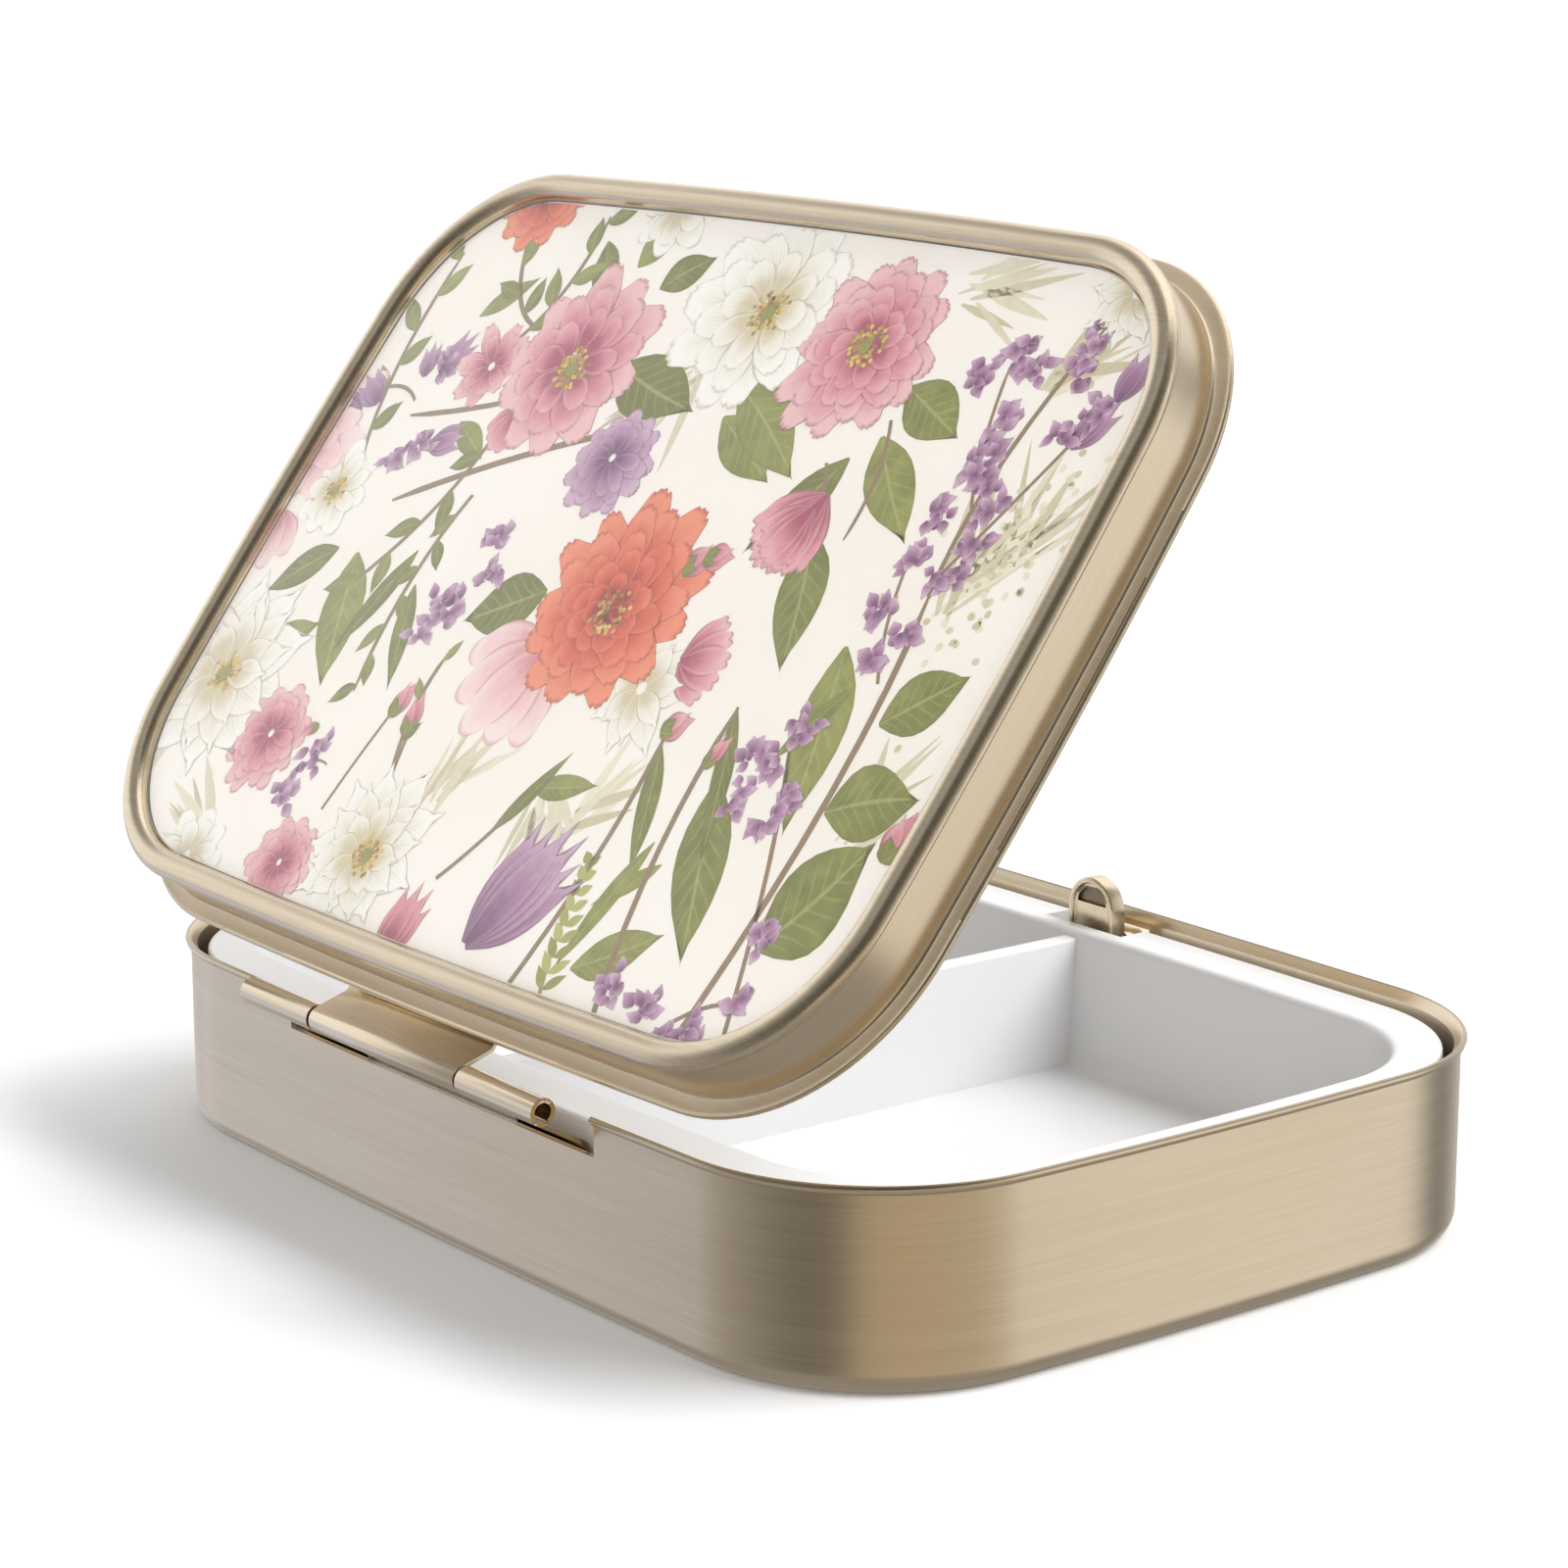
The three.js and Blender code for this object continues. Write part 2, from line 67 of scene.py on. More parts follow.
# shader maths as plain expressions
class Wire:
    def __init__(self, tree, socket):
        self.tree = tree
        self.socket = socket

    def math(self, operation, first, second):
        n = self.tree.nodes.new("ShaderNodeMath")
        n.operation = operation
        for socket, value in zip(n.inputs, (first, second)):
            if isinstance(value, Wire):
                self.tree.links.new(value.socket, socket)
            else:
                socket.default_value = value
        return Wire(self.tree, n.outputs[0])

    def __add__(self, other): return self.math("ADD", self, other)
    def __radd__(self, other): return self.math("ADD", other, self)
    def __sub__(self, other): return self.math("SUBTRACT", self, other)
    def __rsub__(self, other): return self.math("SUBTRACT", other, self)
    def __mul__(self, other): return self.math("MULTIPLY", self, other)
    def __rmul__(self, other): return self.math("MULTIPLY", other, self)
    def __truediv__(self, other): return self.math("DIVIDE", self, other)
    def __pow__(self, other): return self.math("POWER", self, other)
    def __neg__(self): return self.math("MULTIPLY", self, -1.0)


class Finish:
    def __init__(self, name, owner=None):
        self.material = owner or bpy.data.materials.new(name)
        self.material.use_nodes = True
        self.tree = self.material.node_tree
        self.tree.nodes.clear()

    # a node's settings go in first, then the values or wires of its sockets
    def node(self, kind, settings=None, sockets=None, output=0):
        n = self.tree.nodes.new(kind)
        for key, value in (settings or {}).items():
            if key == "stops":
                while len(n.color_ramp.elements) < len(value):
                    n.color_ramp.elements.new(1.0)
                for element, (place, colour) in zip(n.color_ramp.elements, value):
                    element.position = place
                    element.color = (*colour, 1.0)
            else:
                setattr(n, key, value)
        for key, value in (sockets or {}).items():
            if isinstance(value, Wire):
                self.tree.links.new(value.socket, n.inputs[key])
            elif isinstance(value, tuple) and n.inputs[key].type == "RGBA":
                n.inputs[key].default_value = (*value, 1.0)
            else:
                n.inputs[key].default_value = value
        return Wire(self.tree, n.outputs[output])

    def mix(self, share, first, second, blend="MIX"):
        settings = {"data_type": "RGBA", "blend_type": blend, "clamp_factor": True}
        return self.node("ShaderNodeMix", settings, {0: share, 6: first, 7: second}, 2)

    def range(self, value, low, high, toLow=0.0, toHigh=1.0):
        settings = {"interpolation_type": "SMOOTHSTEP"}
        sockets = {"Value": value, "From Min": low, "From Max": high, "To Min": toLow, "To Max": toHigh}
        return self.node("ShaderNodeMapRange", settings, sockets)

    def noise(self, vector, scale, detail=2.0, roughness=0.5):
        sockets = {"Vector": vector, "Scale": scale, "Detail": detail, "Roughness": roughness}
        return self.node("ShaderNodeTexNoise", {}, sockets)

    def surface(self, wire):
        output = self.tree.nodes.new("ShaderNodeOutputMaterial")
        self.tree.links.new(wire.socket, output.inputs["Surface"])
        return self.material


# finishes

goldLook = {
    "dark": (0.70, 0.585, 0.42),
    "light": (0.84, 0.715, 0.54),
    "shadowed": (0.64, 0.53, 0.37),
}


# on the lid the grain is turned with it, so its z runs through the lid's thickness
def brushedGold(name, grain, roughness=0.3, spread=0.16, bump=0.35, turned=0.0, level=1.0, streaks=0.6):
    f = Finish(name)
    place = f.node("ShaderNodeTexCoord", {}, {}, "Object")
    if turned:
        place = f.node("ShaderNodeMapping", {}, {"Vector": place, "Rotation": (-turned, 0.0, 0.0)})
    stretched = f.node("ShaderNodeMapping", {}, {"Vector": place, "Scale": grain})
    fine = f.noise(stretched, 1.0, 3.0, 0.65)
    coarse = f.noise(stretched, 0.22, 2.0, 0.5)
    patches = f.noise(place, 55.0, 1.0)
    scratch = f.range(f.noise(stretched, 0.6, 1.0), 0.68, 0.78)
    streak = fine * 0.6 + coarse * 0.4
    share = f.range(streak, 0.34, 0.66) * streaks + 0.5 * (1 - streaks)
    tone = f.mix(share, goldLook["dark"], goldLook["light"])
    tone = f.mix(f.range(patches, 0.45, 0.8) * 0.08, tone, goldLook["shadowed"])
    tone = f.mix(scratch * 0.3 * streaks, tone, (0.95, 0.86, 0.70))
    # a level below 1 pulls the tone towards near black; this is painted shade
    if level < 1:
        tone = f.mix(1 - level, tone, (0.09, 0.06, 0.035))
    rough = roughness + (streak - 0.5) * spread + (patches - 0.5) * 0.04
    height = streak + scratch * 0.4
    raised = f.node("ShaderNodeBump", {}, {"Strength": bump, "Distance": 0.00002, "Height": height})
    return f.surface(f.node("ShaderNodeBsdfPrincipled", {}, {
        "Base Color": tone, "Metallic": 1.0, "Roughness": rough, "Normal": raised}))


# the flange, where the sheet is drawn over, is a darker gold than the walls, only partly metallic and rougher
def softGold(name):
    f = Finish(name)
    place = f.node("ShaderNodeTexCoord", {}, {}, "Object")
    stretched = f.node("ShaderNodeMapping", {}, {"Vector": place, "Scale": (200.0, 3000.0, 3000.0)})
    fine = f.noise(stretched, 1.0, 2.0)
    tone = f.mix(fine, (0.58, 0.47, 0.33), (0.72, 0.60, 0.43))
    raised = f.node("ShaderNodeBump", {}, {"Strength": 0.15, "Distance": 0.00002, "Height": fine})
    return f.surface(f.node("ShaderNodeBsdfPrincipled", {}, {
        "Base Color": tone, "Metallic": 0.45, "Roughness": 0.4 + fine * 0.1, "Normal": raised}))


def whitePlastic():
    f = Finish("white tray plastic")
    place = f.node("ShaderNodeTexCoord", {}, {}, "Object")
    cloud = f.noise(place, 90.0, 3.0)
    pores = f.noise(place, 5200.0, 2.0)
    tone = f.mix(cloud, (0.72, 0.725, 0.735), (0.76, 0.765, 0.775))
    height = pores + cloud * 3.0
    raised = f.node("ShaderNodeBump", {}, {"Strength": 0.12, "Distance": 0.00001, "Height": height})
    return f.surface(f.node("ShaderNodeBsdfPrincipled", {}, {
        "Base Color": tone, "Roughness": 0.24 + cloud * 0.12, "Normal": raised}))


def creamPaper():
    f = Finish("cream printed card")
    place = f.node("ShaderNodeTexCoord", {}, {}, "Object")
    wash = f.noise(place, 45.0, 4.0, 0.6)
    fibre = f.noise(place, 2400.0, 2.0)
    tone = f.mix(f.range(wash, 0.3, 0.7), (0.945, 0.885, 0.795), (0.975, 0.93, 0.86))
    tone = f.mix(f.range(fibre, 0.55, 0.75) * 0.12, tone, (0.90, 0.83, 0.73))
    raised = f.node("ShaderNodeBump", {}, {"Strength": 0.1, "Distance": 0.00001, "Height": fibre})
    return f.surface(f.node("ShaderNodeBsdfPrincipled", {}, {
        "Base Color": tone, "Roughness": 0.6 + fibre * 0.1, "Normal": raised}))


def clearCover():
    f = Finish("clear domed cover")
    place = f.node("ShaderNodeTexCoord", {}, {}, "Object")
    swirl = f.noise(place, 120.0, 1.0)
    raised = f.node("ShaderNodeBump", {}, {"Strength": 0.05, "Distance": 0.00005, "Height": swirl})
    gloss = f.node("ShaderNodeBsdfPrincipled", {}, {
        "Base Color": (0.97, 0.975, 0.98), "Metallic": 1.0,
        "Roughness": 0.06 + swirl * 0.05, "Normal": raised})
    clear = f.node("ShaderNodeBsdfTransparent", {}, {"Color": (0.99, 0.99, 0.99)})
    facing = f.node("ShaderNodeLayerWeight", {}, {"Blend": 0.5}, "Facing")
    return f.surface(f.node("ShaderNodeMixShader", {}, {0: facing ** 4.0 * 0.8 + 0.03, 1: clear, 2: gloss}))


# the places and tones that every print paint works from
def printInputs(f):
    uv = f.node("ShaderNodeUVMap", {"uv_map": "UVMap"})
    u = f.node("ShaderNodeSeparateXYZ", {}, {"Vector": uv}, "X")
    v = f.node("ShaderNodeSeparateXYZ", {}, {"Vector": uv}, "Y")
    shade = f.node("ShaderNodeAttribute", {"attribute_name": "shade"}, {}, "Fac")
    place = f.node("ShaderNodeTexCoord", {}, {}, "Object")
    return u, v, shade, place


# petals run from the flower's middle at v = 0 to the tip at v = 1, and u goes across
def petalPaint(name, deep, middle, pale, line, veins=0.16):
    f = Finish(name)
    u, v, shade, place = printInputs(f)
    wash = f.noise(place, 900.0, 3.0, 0.6)
    side = f.node("ShaderNodeMath", {"operation": "ABSOLUTE"}, {0: u * 2.0 - 1.0})
    along = v * 1.05 + (wash - 0.5) * 0.5 - shade * 0.55 + 0.06
    tone = f.mix(f.range(along, 0.0, 0.5), deep, middle)
    tone = f.mix(f.range(along, 0.4, 1.0), tone, pale)
    wave = f.node("ShaderNodeMath", {"operation": "SINE"}, {0: u * 62.0 + wash * 9.0})
    vein = f.range(wave, 0.35, 1.0) * f.range(v, 1.0, 0.25)
    tone = f.mix(vein * veins, tone, line)
    fold = f.range(side, 0.30, 0.0) * f.range(v, 0.9, 0.3)
    tone = f.mix(fold * 0.18, tone, line)
    edge = f.range(side, 0.82, 1.0)
    tip = f.range(v, 0.93, 1.0)
    tone = f.mix(f.range(side, 0.55, 0.85) * 0.3, tone, pale)
    tone = f.mix(edge * 0.85 + tip * 0.6, tone, line)
    return f.surface(f.node("ShaderNodeBsdfPrincipled", {}, {
        "Base Color": tone, "Roughness": 0.55 + wash * 0.1}))


def leafPaint(name, dark, light, line):
    f = Finish(name)
    u, v, shade, place = printInputs(f)
    wash = f.noise(place, 700.0, 4.0, 0.65)
    side = f.node("ShaderNodeMath", {"operation": "ABSOLUTE"}, {0: u * 2.0 - 1.0})
    tone = f.mix(f.range(wash * 0.8 + shade * 0.5, 0.25, 0.85), light, dark)
    tone = f.mix(f.range(u, 0.48, 0.52) * 0.22, tone, dark)
    ribs = f.node("ShaderNodeMath", {"operation": "SINE"}, {0: v * 50.0 - side * 13.0})
    tone = f.mix(f.range(ribs, 0.72, 1.0) * 0.28 * f.range(side, 1.0, 0.5), tone, line)
    tone = f.mix(f.range(side, 0.09, 0.02) * 0.5, tone, line)
    tone = f.mix(f.range(side, 0.88, 1.0) * 0.4, tone, dark)
    return f.surface(f.node("ShaderNodeBsdfPrincipled", {}, {
        "Base Color": tone, "Roughness": 0.55 + wash * 0.1}))


def dotPaint(name, dark, light):
    f = Finish(name)
    shade = f.node("ShaderNodeAttribute", {"attribute_name": "shade"}, {}, "Fac")
    place = f.node("ShaderNodeTexCoord", {}, {}, "Object")
    speck = f.noise(place, 2500.0, 2.0)
    tone = f.mix(f.range(shade * 0.8 + speck * 0.4, 0.1, 1.0), dark, light)
    return f.surface(f.node("ShaderNodeBsdfPrincipled", {}, {
        "Base Color": tone, "Roughness": 0.6 + speck * 0.05}))


wallGold = brushedGold("brushed gold walls", (120.0, 120.0, 8600.0), 0.3, 0.12, 0.26)
lidGold = brushedGold("brushed gold lid", (150.0, 5600.0, 5600.0), 0.25, 0.12, 0.3, openAngle)
bandGold = brushedGold("satin gold band", (90.0, 90.0, 7000.0), 0.27, 0.05, 0.06, openAngle, 1.0, 0.25)
fittingGold = brushedGold("gold fittings", (160.0, 3800.0, 3800.0), 0.17, 0.06, 0.1)
tabGold = brushedGold("satin gold latch tab", (2600.0, 900.0, 2600.0), 0.27, 0.1, 0.15)
# the pin is steel, darkened nearly to black as painted shade inside the knuckle
pinSteelInShade = brushedGold("steel pin darkened as painted shade", (900.0, 4000.0, 4000.0), 0.42, 0.1, 0.2, 0.0, 0.12)
# the top of the rim's curl is darkened by almost half, painted shade along the lip
shadedLipGold = brushedGold("gold lip darkened as painted shade", (160.0, 160.0, 4000.0), 0.28, 0.08, 0.15, 0.0, 0.55)
flangeGold = softGold("satin gold flange")
# the latch window's sunk faces are darkened to about a third, painted shade in the recess
windowShadeGold = brushedGold("latch window gold darkened as painted shade", (900.0, 900.0, 900.0), 0.5, 0.1, 0.2, 0.0, 0.28)
trayWhite = whitePlastic()
cardCream = creamPaper()
coverClear = clearCover()
print("finishes made")


# modelling, in millimetres

def nothingSelected():
    if bpy.context.object and bpy.context.object.mode != "OBJECT":
        bpy.ops.object.mode_set(mode="OBJECT")
    bpy.ops.object.select_all(action="DESELECT")


def pickOnly(piece):
    nothingSelected()
    piece.select_set(True)
    bpy.context.view_layer.objects.active = piece


def selectAll():
    bpy.ops.mesh.select_all(action="SELECT")


# the piece that was just added, named, with its place and size put into its mesh
def added(name):
    piece = bpy.context.object
    piece.name = name
    bpy.ops.object.transform_apply(location=True, rotation=True, scale=True)
    return piece


def dress(piece, *finishes):
    piece.data.materials.clear()
    for finish in finishes:
        piece.data.materials.append(finish)


def startPoint(name, x, y, z):
    nothingSelected()
    bpy.ops.mesh.primitive_plane_add(size=1, location=(x, y, z))
    piece = added(name)
    bpy.ops.object.mode_set(mode="EDIT")
    bpy.ops.mesh.select_mode(type="VERT")
    selectAll()
    bpy.ops.mesh.merge(type="CENTER")
    return piece


def pull(x, y, z):
    bpy.ops.mesh.extrude_region_move(TRANSFORM_OT_translate={"value": (x, y, z)})


def applied(piece, kind, **settings):
    pickOnly(piece)
    modifier = piece.modifiers.new(kind.lower(), kind)
    for key, value in settings.items():
        setattr(modifier, key, value)
    bpy.ops.object.modifier_apply(modifier=modifier.name)


def cutWith(piece, cutter, operation="DIFFERENCE"):
    applied(piece, "BOOLEAN", object=cutter, operation=operation, solver="EXACT")
    bpy.data.objects.remove(cutter)


def block(name, width, depth, height, x, y, z, rounding=0.0):
    nothingSelected()
    bpy.ops.mesh.primitive_cube_add(size=1, location=(x, y, z + height / 2), scale=(width, depth, height))
    piece = added(name)
    if rounding:
        bpy.ops.object.mode_set(mode="EDIT")
        selectAll()
        bpy.ops.mesh.bevel(offset=rounding, segments=4, affect="EDGES")
        bpy.ops.object.mode_set(mode="OBJECT")
    return piece


# the finished piece goes to metres and to the lid's open place if it is on the lid
def settle(piece, body, finish, replaced=(), smooth=40, onLid=False):
    pickOnly(piece)
    if onLid:
        swing = Matrix.Translation((0, hingeY, hingeZ)) @ Matrix.Rotation(openAngle, 4, "X")
        piece.data.transform(swing @ Matrix.Translation((0, -hingeY, -hingeZ)))
    piece.data.transform(Matrix.Scale(metre, 4))
    if smooth:
        bpy.ops.object.shade_smooth_by_angle(angle=math.radians(smooth))
    if finish and not piece.data.materials:
        piece.data.materials.append(finish)
    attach(piece, body)
    if replaced:
        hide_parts(*replaced)
    return piece


# centres and sweeps of the arcs of a bowed rectangle with round corners, anticlockwise from the right
def outlineArcs(length, width, corner, longBow, shortBow, cornerSteps, sideSteps):
    longRadius = ((length / 2) ** 2 + longBow ** 2) / (2 * longBow)
    shortRadius = ((width / 2) ** 2 + shortBow ** 2) / (2 * shortBow)
    longCentre = Vector((0, width / 2 - longRadius))
    shortCentre = Vector((length / 2 - shortRadius, 0))
    across = shortCentre - longCentre
    longReach, shortReach = longRadius - corner, shortRadius - corner
    along = (longReach ** 2 - shortReach ** 2 + across.length ** 2) / (2 * across.length)
    off = math.sqrt(longReach ** 2 - along ** 2)
    across.normalize()
    middle = longCentre + across * along + Vector((across.y, -across.x)) * off
    shortEnd = math.atan2(middle.y - shortCentre.y, middle.x - shortCentre.x)
    longEnd = math.atan2(middle.y - longCentre.y, middle.x - longCentre.x)
    turn, side = longEnd - shortEnd, math.pi - 2 * longEnd
    return [
        (shortCentre.x, 0, shortEnd, sideSteps), (middle.x, middle.y, turn, cornerSteps),
        (0, longCentre.y, side, 2 * sideSteps), (-middle.x, middle.y, turn, cornerSteps),
        (-shortCentre.x, 0, 2 * shortEnd, 2 * sideSteps), (-middle.x, -middle.y, turn, cornerSteps),
        (0, -longCentre.y, side, 2 * sideSteps), (middle.x, -middle.y, turn, cornerSteps),
        (shortCentre.x, 0, shortEnd, sideSteps)]


def selectedFacing(piece):
    bpy.ops.object.mode_set(mode="OBJECT")
    facing = next(face.normal.z for face in piece.data.polygons if face.select)
    bpy.ops.object.mode_set(mode="EDIT")
    return 1 if facing > 0 else -1


def startOutline(name, size, z, facing):
    piece = startPoint(name, size["length"] / 2, 0, z)
    arcs = outlineArcs(**size)
    for x, y, sweep, steps in arcs:
        bpy.ops.mesh.spin(steps=steps, angle=-sweep, center=(x, y, z), axis=(0, 0, 1))
    selectAll()
    bpy.ops.mesh.remove_doubles(threshold=0.001)
    bpy.ops.mesh.edge_face_add()
    if selectedFacing(piece) != facing:
        bpy.ops.mesh.flip_normals()
    return piece


# the selected face is inset and moved from row to row, each row an inset and a height
def followRows(piece, rows, size):
    facing = selectedFacing(piece)
    for (fromInset, fromZ), (toInset, toZ) in zip(rows, rows[1:]):
        step = toInset - fromInset
        bpy.ops.mesh.inset(thickness=max(step, 0), depth=(toZ - fromZ) * facing, use_even_offset=True)
        if step < 0:
            widerX = 1 - step / (size["length"] / 2 - fromInset)
            widerY = 1 - step / (size["width"] / 2 - fromInset)
            bpy.ops.transform.resize(value=(widerX, widerY, 1), center_override=(0, 0, toZ))


def capMouth():
    bpy.ops.mesh.select_all(action="DESELECT")
    bpy.ops.mesh.select_non_manifold(extend=False, use_wire=False, use_boundary=True, use_multi_face=False,
                                     use_non_contiguous=False, use_verts=False)
    bpy.ops.mesh.edge_face_add()


def arcRows(inset, z, radius, start, end, steps):
    angles = [math.radians(start + (end - start) * i / steps) for i in range(steps + 1)]
    return [(inset - radius * math.cos(a), z + radius * math.sin(a)) for a in angles]


# camera, floor, light

view = {
    "place": (0.17715, -0.13881, 0.07413),
    "azimuth": 52.135,
    "elevation": 13.078,
    "lens": 94.8,
}


def placeCamera():
    nothingSelected()
    bpy.ops.object.camera_add(location=view["place"])
    camera = bpy.context.object
    azimuth, elevation = math.radians(view["azimuth"]), math.radians(view["elevation"])
    camera.rotation_euler = (math.pi / 2 - elevation, 0, azimuth)
    camera.data.lens = view["lens"]
    camera.data.sensor_width = 36
    camera.data.clip_start = 0.01
    bpy.context.scene.camera = camera


studio = {
    "keyFrom": (0.62, 0.60, 1.0),
    "keyPower": 3.1,
    "keySoftness": 46,
    "fillFrom": (-0.25, -0.95, 0.75),
    "fillPower": 0.95,
    "sideFrom": (0.95, -0.75, 0.6),
    "sidePower": 0.95,
    "fillSoftness": 60,
    "below": (0.34, 0.33, 0.32),
}
# the room round the box: degrees from the front towards the right, brightness, warmth
lowRing = [(-180, 0.24, -0.2), (-150, 0.75, 0.0), (-118, 0.95, 0.0), (-95, 0.66, -0.3), (-78, 0.92, -1.0),
           (-60, 0.90, -1.0), (-48, 0.54, -0.3), (-28, 0.38, 0.2), (-8, 0.28, 0.2), (10, 0.19, 0.2),
           (24, 0.17, 0.4), (34, 0.23, 0.6), (43, 0.56, 0.9), (62, 0.60, 1.0), (100, 0.58, 0.8),
           (118, 0.66, 0.5), (129, 0.99, 0.1), (142, 0.98, 0.0), (156, 0.56, 0.0), (168, 0.20, -0.3),
           (180, 0.24, -0.2)]
middleRing = [(-180, 1.0, 0.0), (-130, 1.1, 0.0), (-70, 1.16, -0.2), (-57, 1.0, 0.0), (-40, 0.42, 0.0),
              (-8, 0.16, 0.2), (35, 0.10, 0.3), (75, 0.14, 0.3), (115, 0.56, 0.2), (130, 1.0, 0.0),
              (142, 1.0, 0.0), (158, 0.55, 0.0), (168, 0.40, -0.2), (180, 1.0, 0.0)]
highRing = [(-180, 1.4, 0.0), (-128, 1.4, 0.0), (-112, 0.95, 0.0), (-98, 0.40, 0.0), (-60, 0.30, 0.0),
            (-20, 0.42, 0.0), (10, 0.42, 0.1), (28, 0.14, 0.3), (80, 0.12, 0.3), (115, 0.22, 0.2),
            (150, 0.60, 0.0), (165, 1.3, 0.0), (180, 1.4, 0.0)]


def softStudio():
    world = bpy.data.worlds.new("soft studio")
    bpy.context.scene.world = world
    f = Finish("soft studio", world)
    way = f.node("ShaderNodeTexCoord", {}, {}, "Generated")
    x = f.node("ShaderNodeSeparateXYZ", {}, {"Vector": way}, "X")
    y = f.node("ShaderNodeSeparateXYZ", {}, {"Vector": way}, "Y")
    z = f.node("ShaderNodeSeparateXYZ", {}, {"Vector": way}, "Z")
    angle = f.node("ShaderNodeMath", {"operation": "ARCTAN2"}, {0: x, 1: -y}) / (2 * math.pi) + 0.5

    def ring(levels):
        stops = []
        for degrees, level, warmth in levels:
            warm, cool = max(0.0, warmth), max(0.0, -warmth)
            red, green, blue = 1 - 0.23 * cool, 1 - 0.155 * warm - 0.18 * cool, 1 - 0.38 * warm
            stops.append((degrees / 360 + 0.5, (level * red, level * green, level * blue)))
        return f.node("ShaderNodeValToRGB", {"stops": stops}, {"Fac": angle})

    room = f.mix(f.range(z, -0.22, 0.0), ring(lowRing), ring(middleRing))
    room = f.mix(f.range(z, 0.44, 0.72), room, ring(highRing))
    room = f.mix(f.range(z, -0.42, -0.62), room, studio["below"])
    background = f.node("ShaderNodeBackground", {}, {"Color": room, "Strength": 1.0})
    output = f.tree.nodes.new("ShaderNodeOutputWorld")
    f.tree.links.new(background.socket, output.inputs["Surface"])


# far soft lights that brushed metal doesn't mirror, its reflections come from the room
def softLight(name, source, power, softness):
    nothingSelected()
    bpy.ops.object.light_add(type="SUN", location=source)
    lamp = bpy.context.object
    lamp.name = name
    lamp.data.energy = power
    lamp.data.angle = math.radians(softness)
    lamp.visible_glossy = False
    lamp.rotation_euler = (-Vector(source)).to_track_quat("-Z", "Y").to_euler()


def paleFloor():
    nothingSelected()
    bpy.ops.mesh.primitive_plane_add(size=6, location=(0, 0, 0))
    floor = bpy.context.object
    floor.name = "studio_floor"
    floor.visible_glossy = False
    f = Finish("pale floor")
    place = f.node("ShaderNodeTexCoord", {}, {}, "Object")
    tone = f.mix(f.noise(place, 2.0), (0.79, 0.79, 0.795), (0.81, 0.81, 0.815))
    floor.data.materials.append(f.surface(f.node("ShaderNodeBsdfDiffuse", {}, {"Color": tone})))


placeCamera()
softStudio()
softLight("key", studio["keyFrom"], studio["keyPower"], studio["keySoftness"])
softLight("fill", studio["fillFrom"], studio["fillPower"], studio["fillSoftness"])
softLight("side", studio["sideFrom"], studio["sidePower"], studio["fillSoftness"])
paleFloor()
bpy.context.scene.view_settings.view_transform = "Standard"
print("camera and studio set")


# base

baseBox = {
    "sheet": 0.35,
    "overhang": 0.32,
    "lip": 0.55,
    "bottomRadius": 1.2,
    "curlOut": [(0.06, -0.38), (0.16, -0.46), (0.32, -0.55)],
    "curlIn": [(0.02, -0.12), (0.08, -0.04), (0.18, 0.0), (0.26, -0.03), (0.30, -0.10)],
    "start": -0.2,  # the outline is drawn this far under the rim
    "shadedLipAbove": 0.09,
    "notchLength": 29.2,
    "notchDepth": 2.2,
    "slotWidth": 5.6,
    "slotHeight": 3.3,
    "slotTop": 0.95,
}


def makeBase():
    b = baseBox
    inner = b["overhang"] + b["sheet"]
    radius = b["bottomRadius"]
    piece = startOutline("baseShell", boxSize, rimZ + b["start"], -1)
    rows = [(0, rimZ + b["start"])] + [(inset, rimZ + z) for inset, z in b["curlOut"]]
    rows += [(b["overhang"], rimZ - 0.6), (b["overhang"], radius + 0.05)]
    rows += arcRows(b["overhang"] + radius, radius, radius, 0, -90, 9)
    followRows(piece, rows, boxSize)
    capMouth()
    rows = [(0, rimZ + b["start"])] + [(inset, rimZ + z) for inset, z in b["curlIn"]]
    rows += [(inner, rimZ - b["lip"]), (inner, rimZ - b["lip"] - 0.05), (inner, radius + 0.05)]
    rows += arcRows(b["overhang"] + radius, radius, radius - b["sheet"], 0, -90, 7)
    followRows(piece, rows, boxSize)
    wallY = boxSize["width"] / 2
    sill = rimZ - b["notchDepth"]
    cutWith(piece, block("notch", b["notchLength"], 3, b["notchDepth"] + 1, 0, -wallY, sill))
    slotZ = rimZ - b["slotTop"] - b["slotHeight"]
    cutWith(piece, block("slot", b["slotWidth"], 3, b["slotHeight"], 0, wallY, slotZ))
    dress(piece, wallGold, shadedLipGold)
    # upward faces at the top of the rim's curl take the darkened gold, painted shade
    for face in piece.data.polygons:
        face.material_index = 1 if face.center.z > rimZ - b["shadedLipAbove"] and face.normal.z > 0.5 else 0
    settle(piece, "base", None, ("base_shell",))


makeBase()
print("base made")


# lid

lidBox = {
    "gap": 0.12,
    "height": 4.2,
    "flange": 1.08,
    "flangeThickness": 0.42,
    "bead": 1.55,
    "beadOverhang": 0.16,
    "beadRise": 0.6,
    "recess": 1.2,
    "sheet": 0.35,
    "curlOut": [(0.0, 0.22), (0.02, 0.30), (0.08, 0.38), (0.16, 0.425), (0.26, 0.42), (0.42, 0.37)],
    "curlIn": [(0.0, 0.22), (0.02, 0.13), (0.07, 0.05), (0.16, 0.0)],
}
lidZ = rimZ + lidBox["gap"]
lidTop = lidZ + lidBox["height"]
recessInset = lidBox["flange"] - lidBox["beadOverhang"] + lidBox["bead"]
recessZ = lidTop - lidBox["recess"]


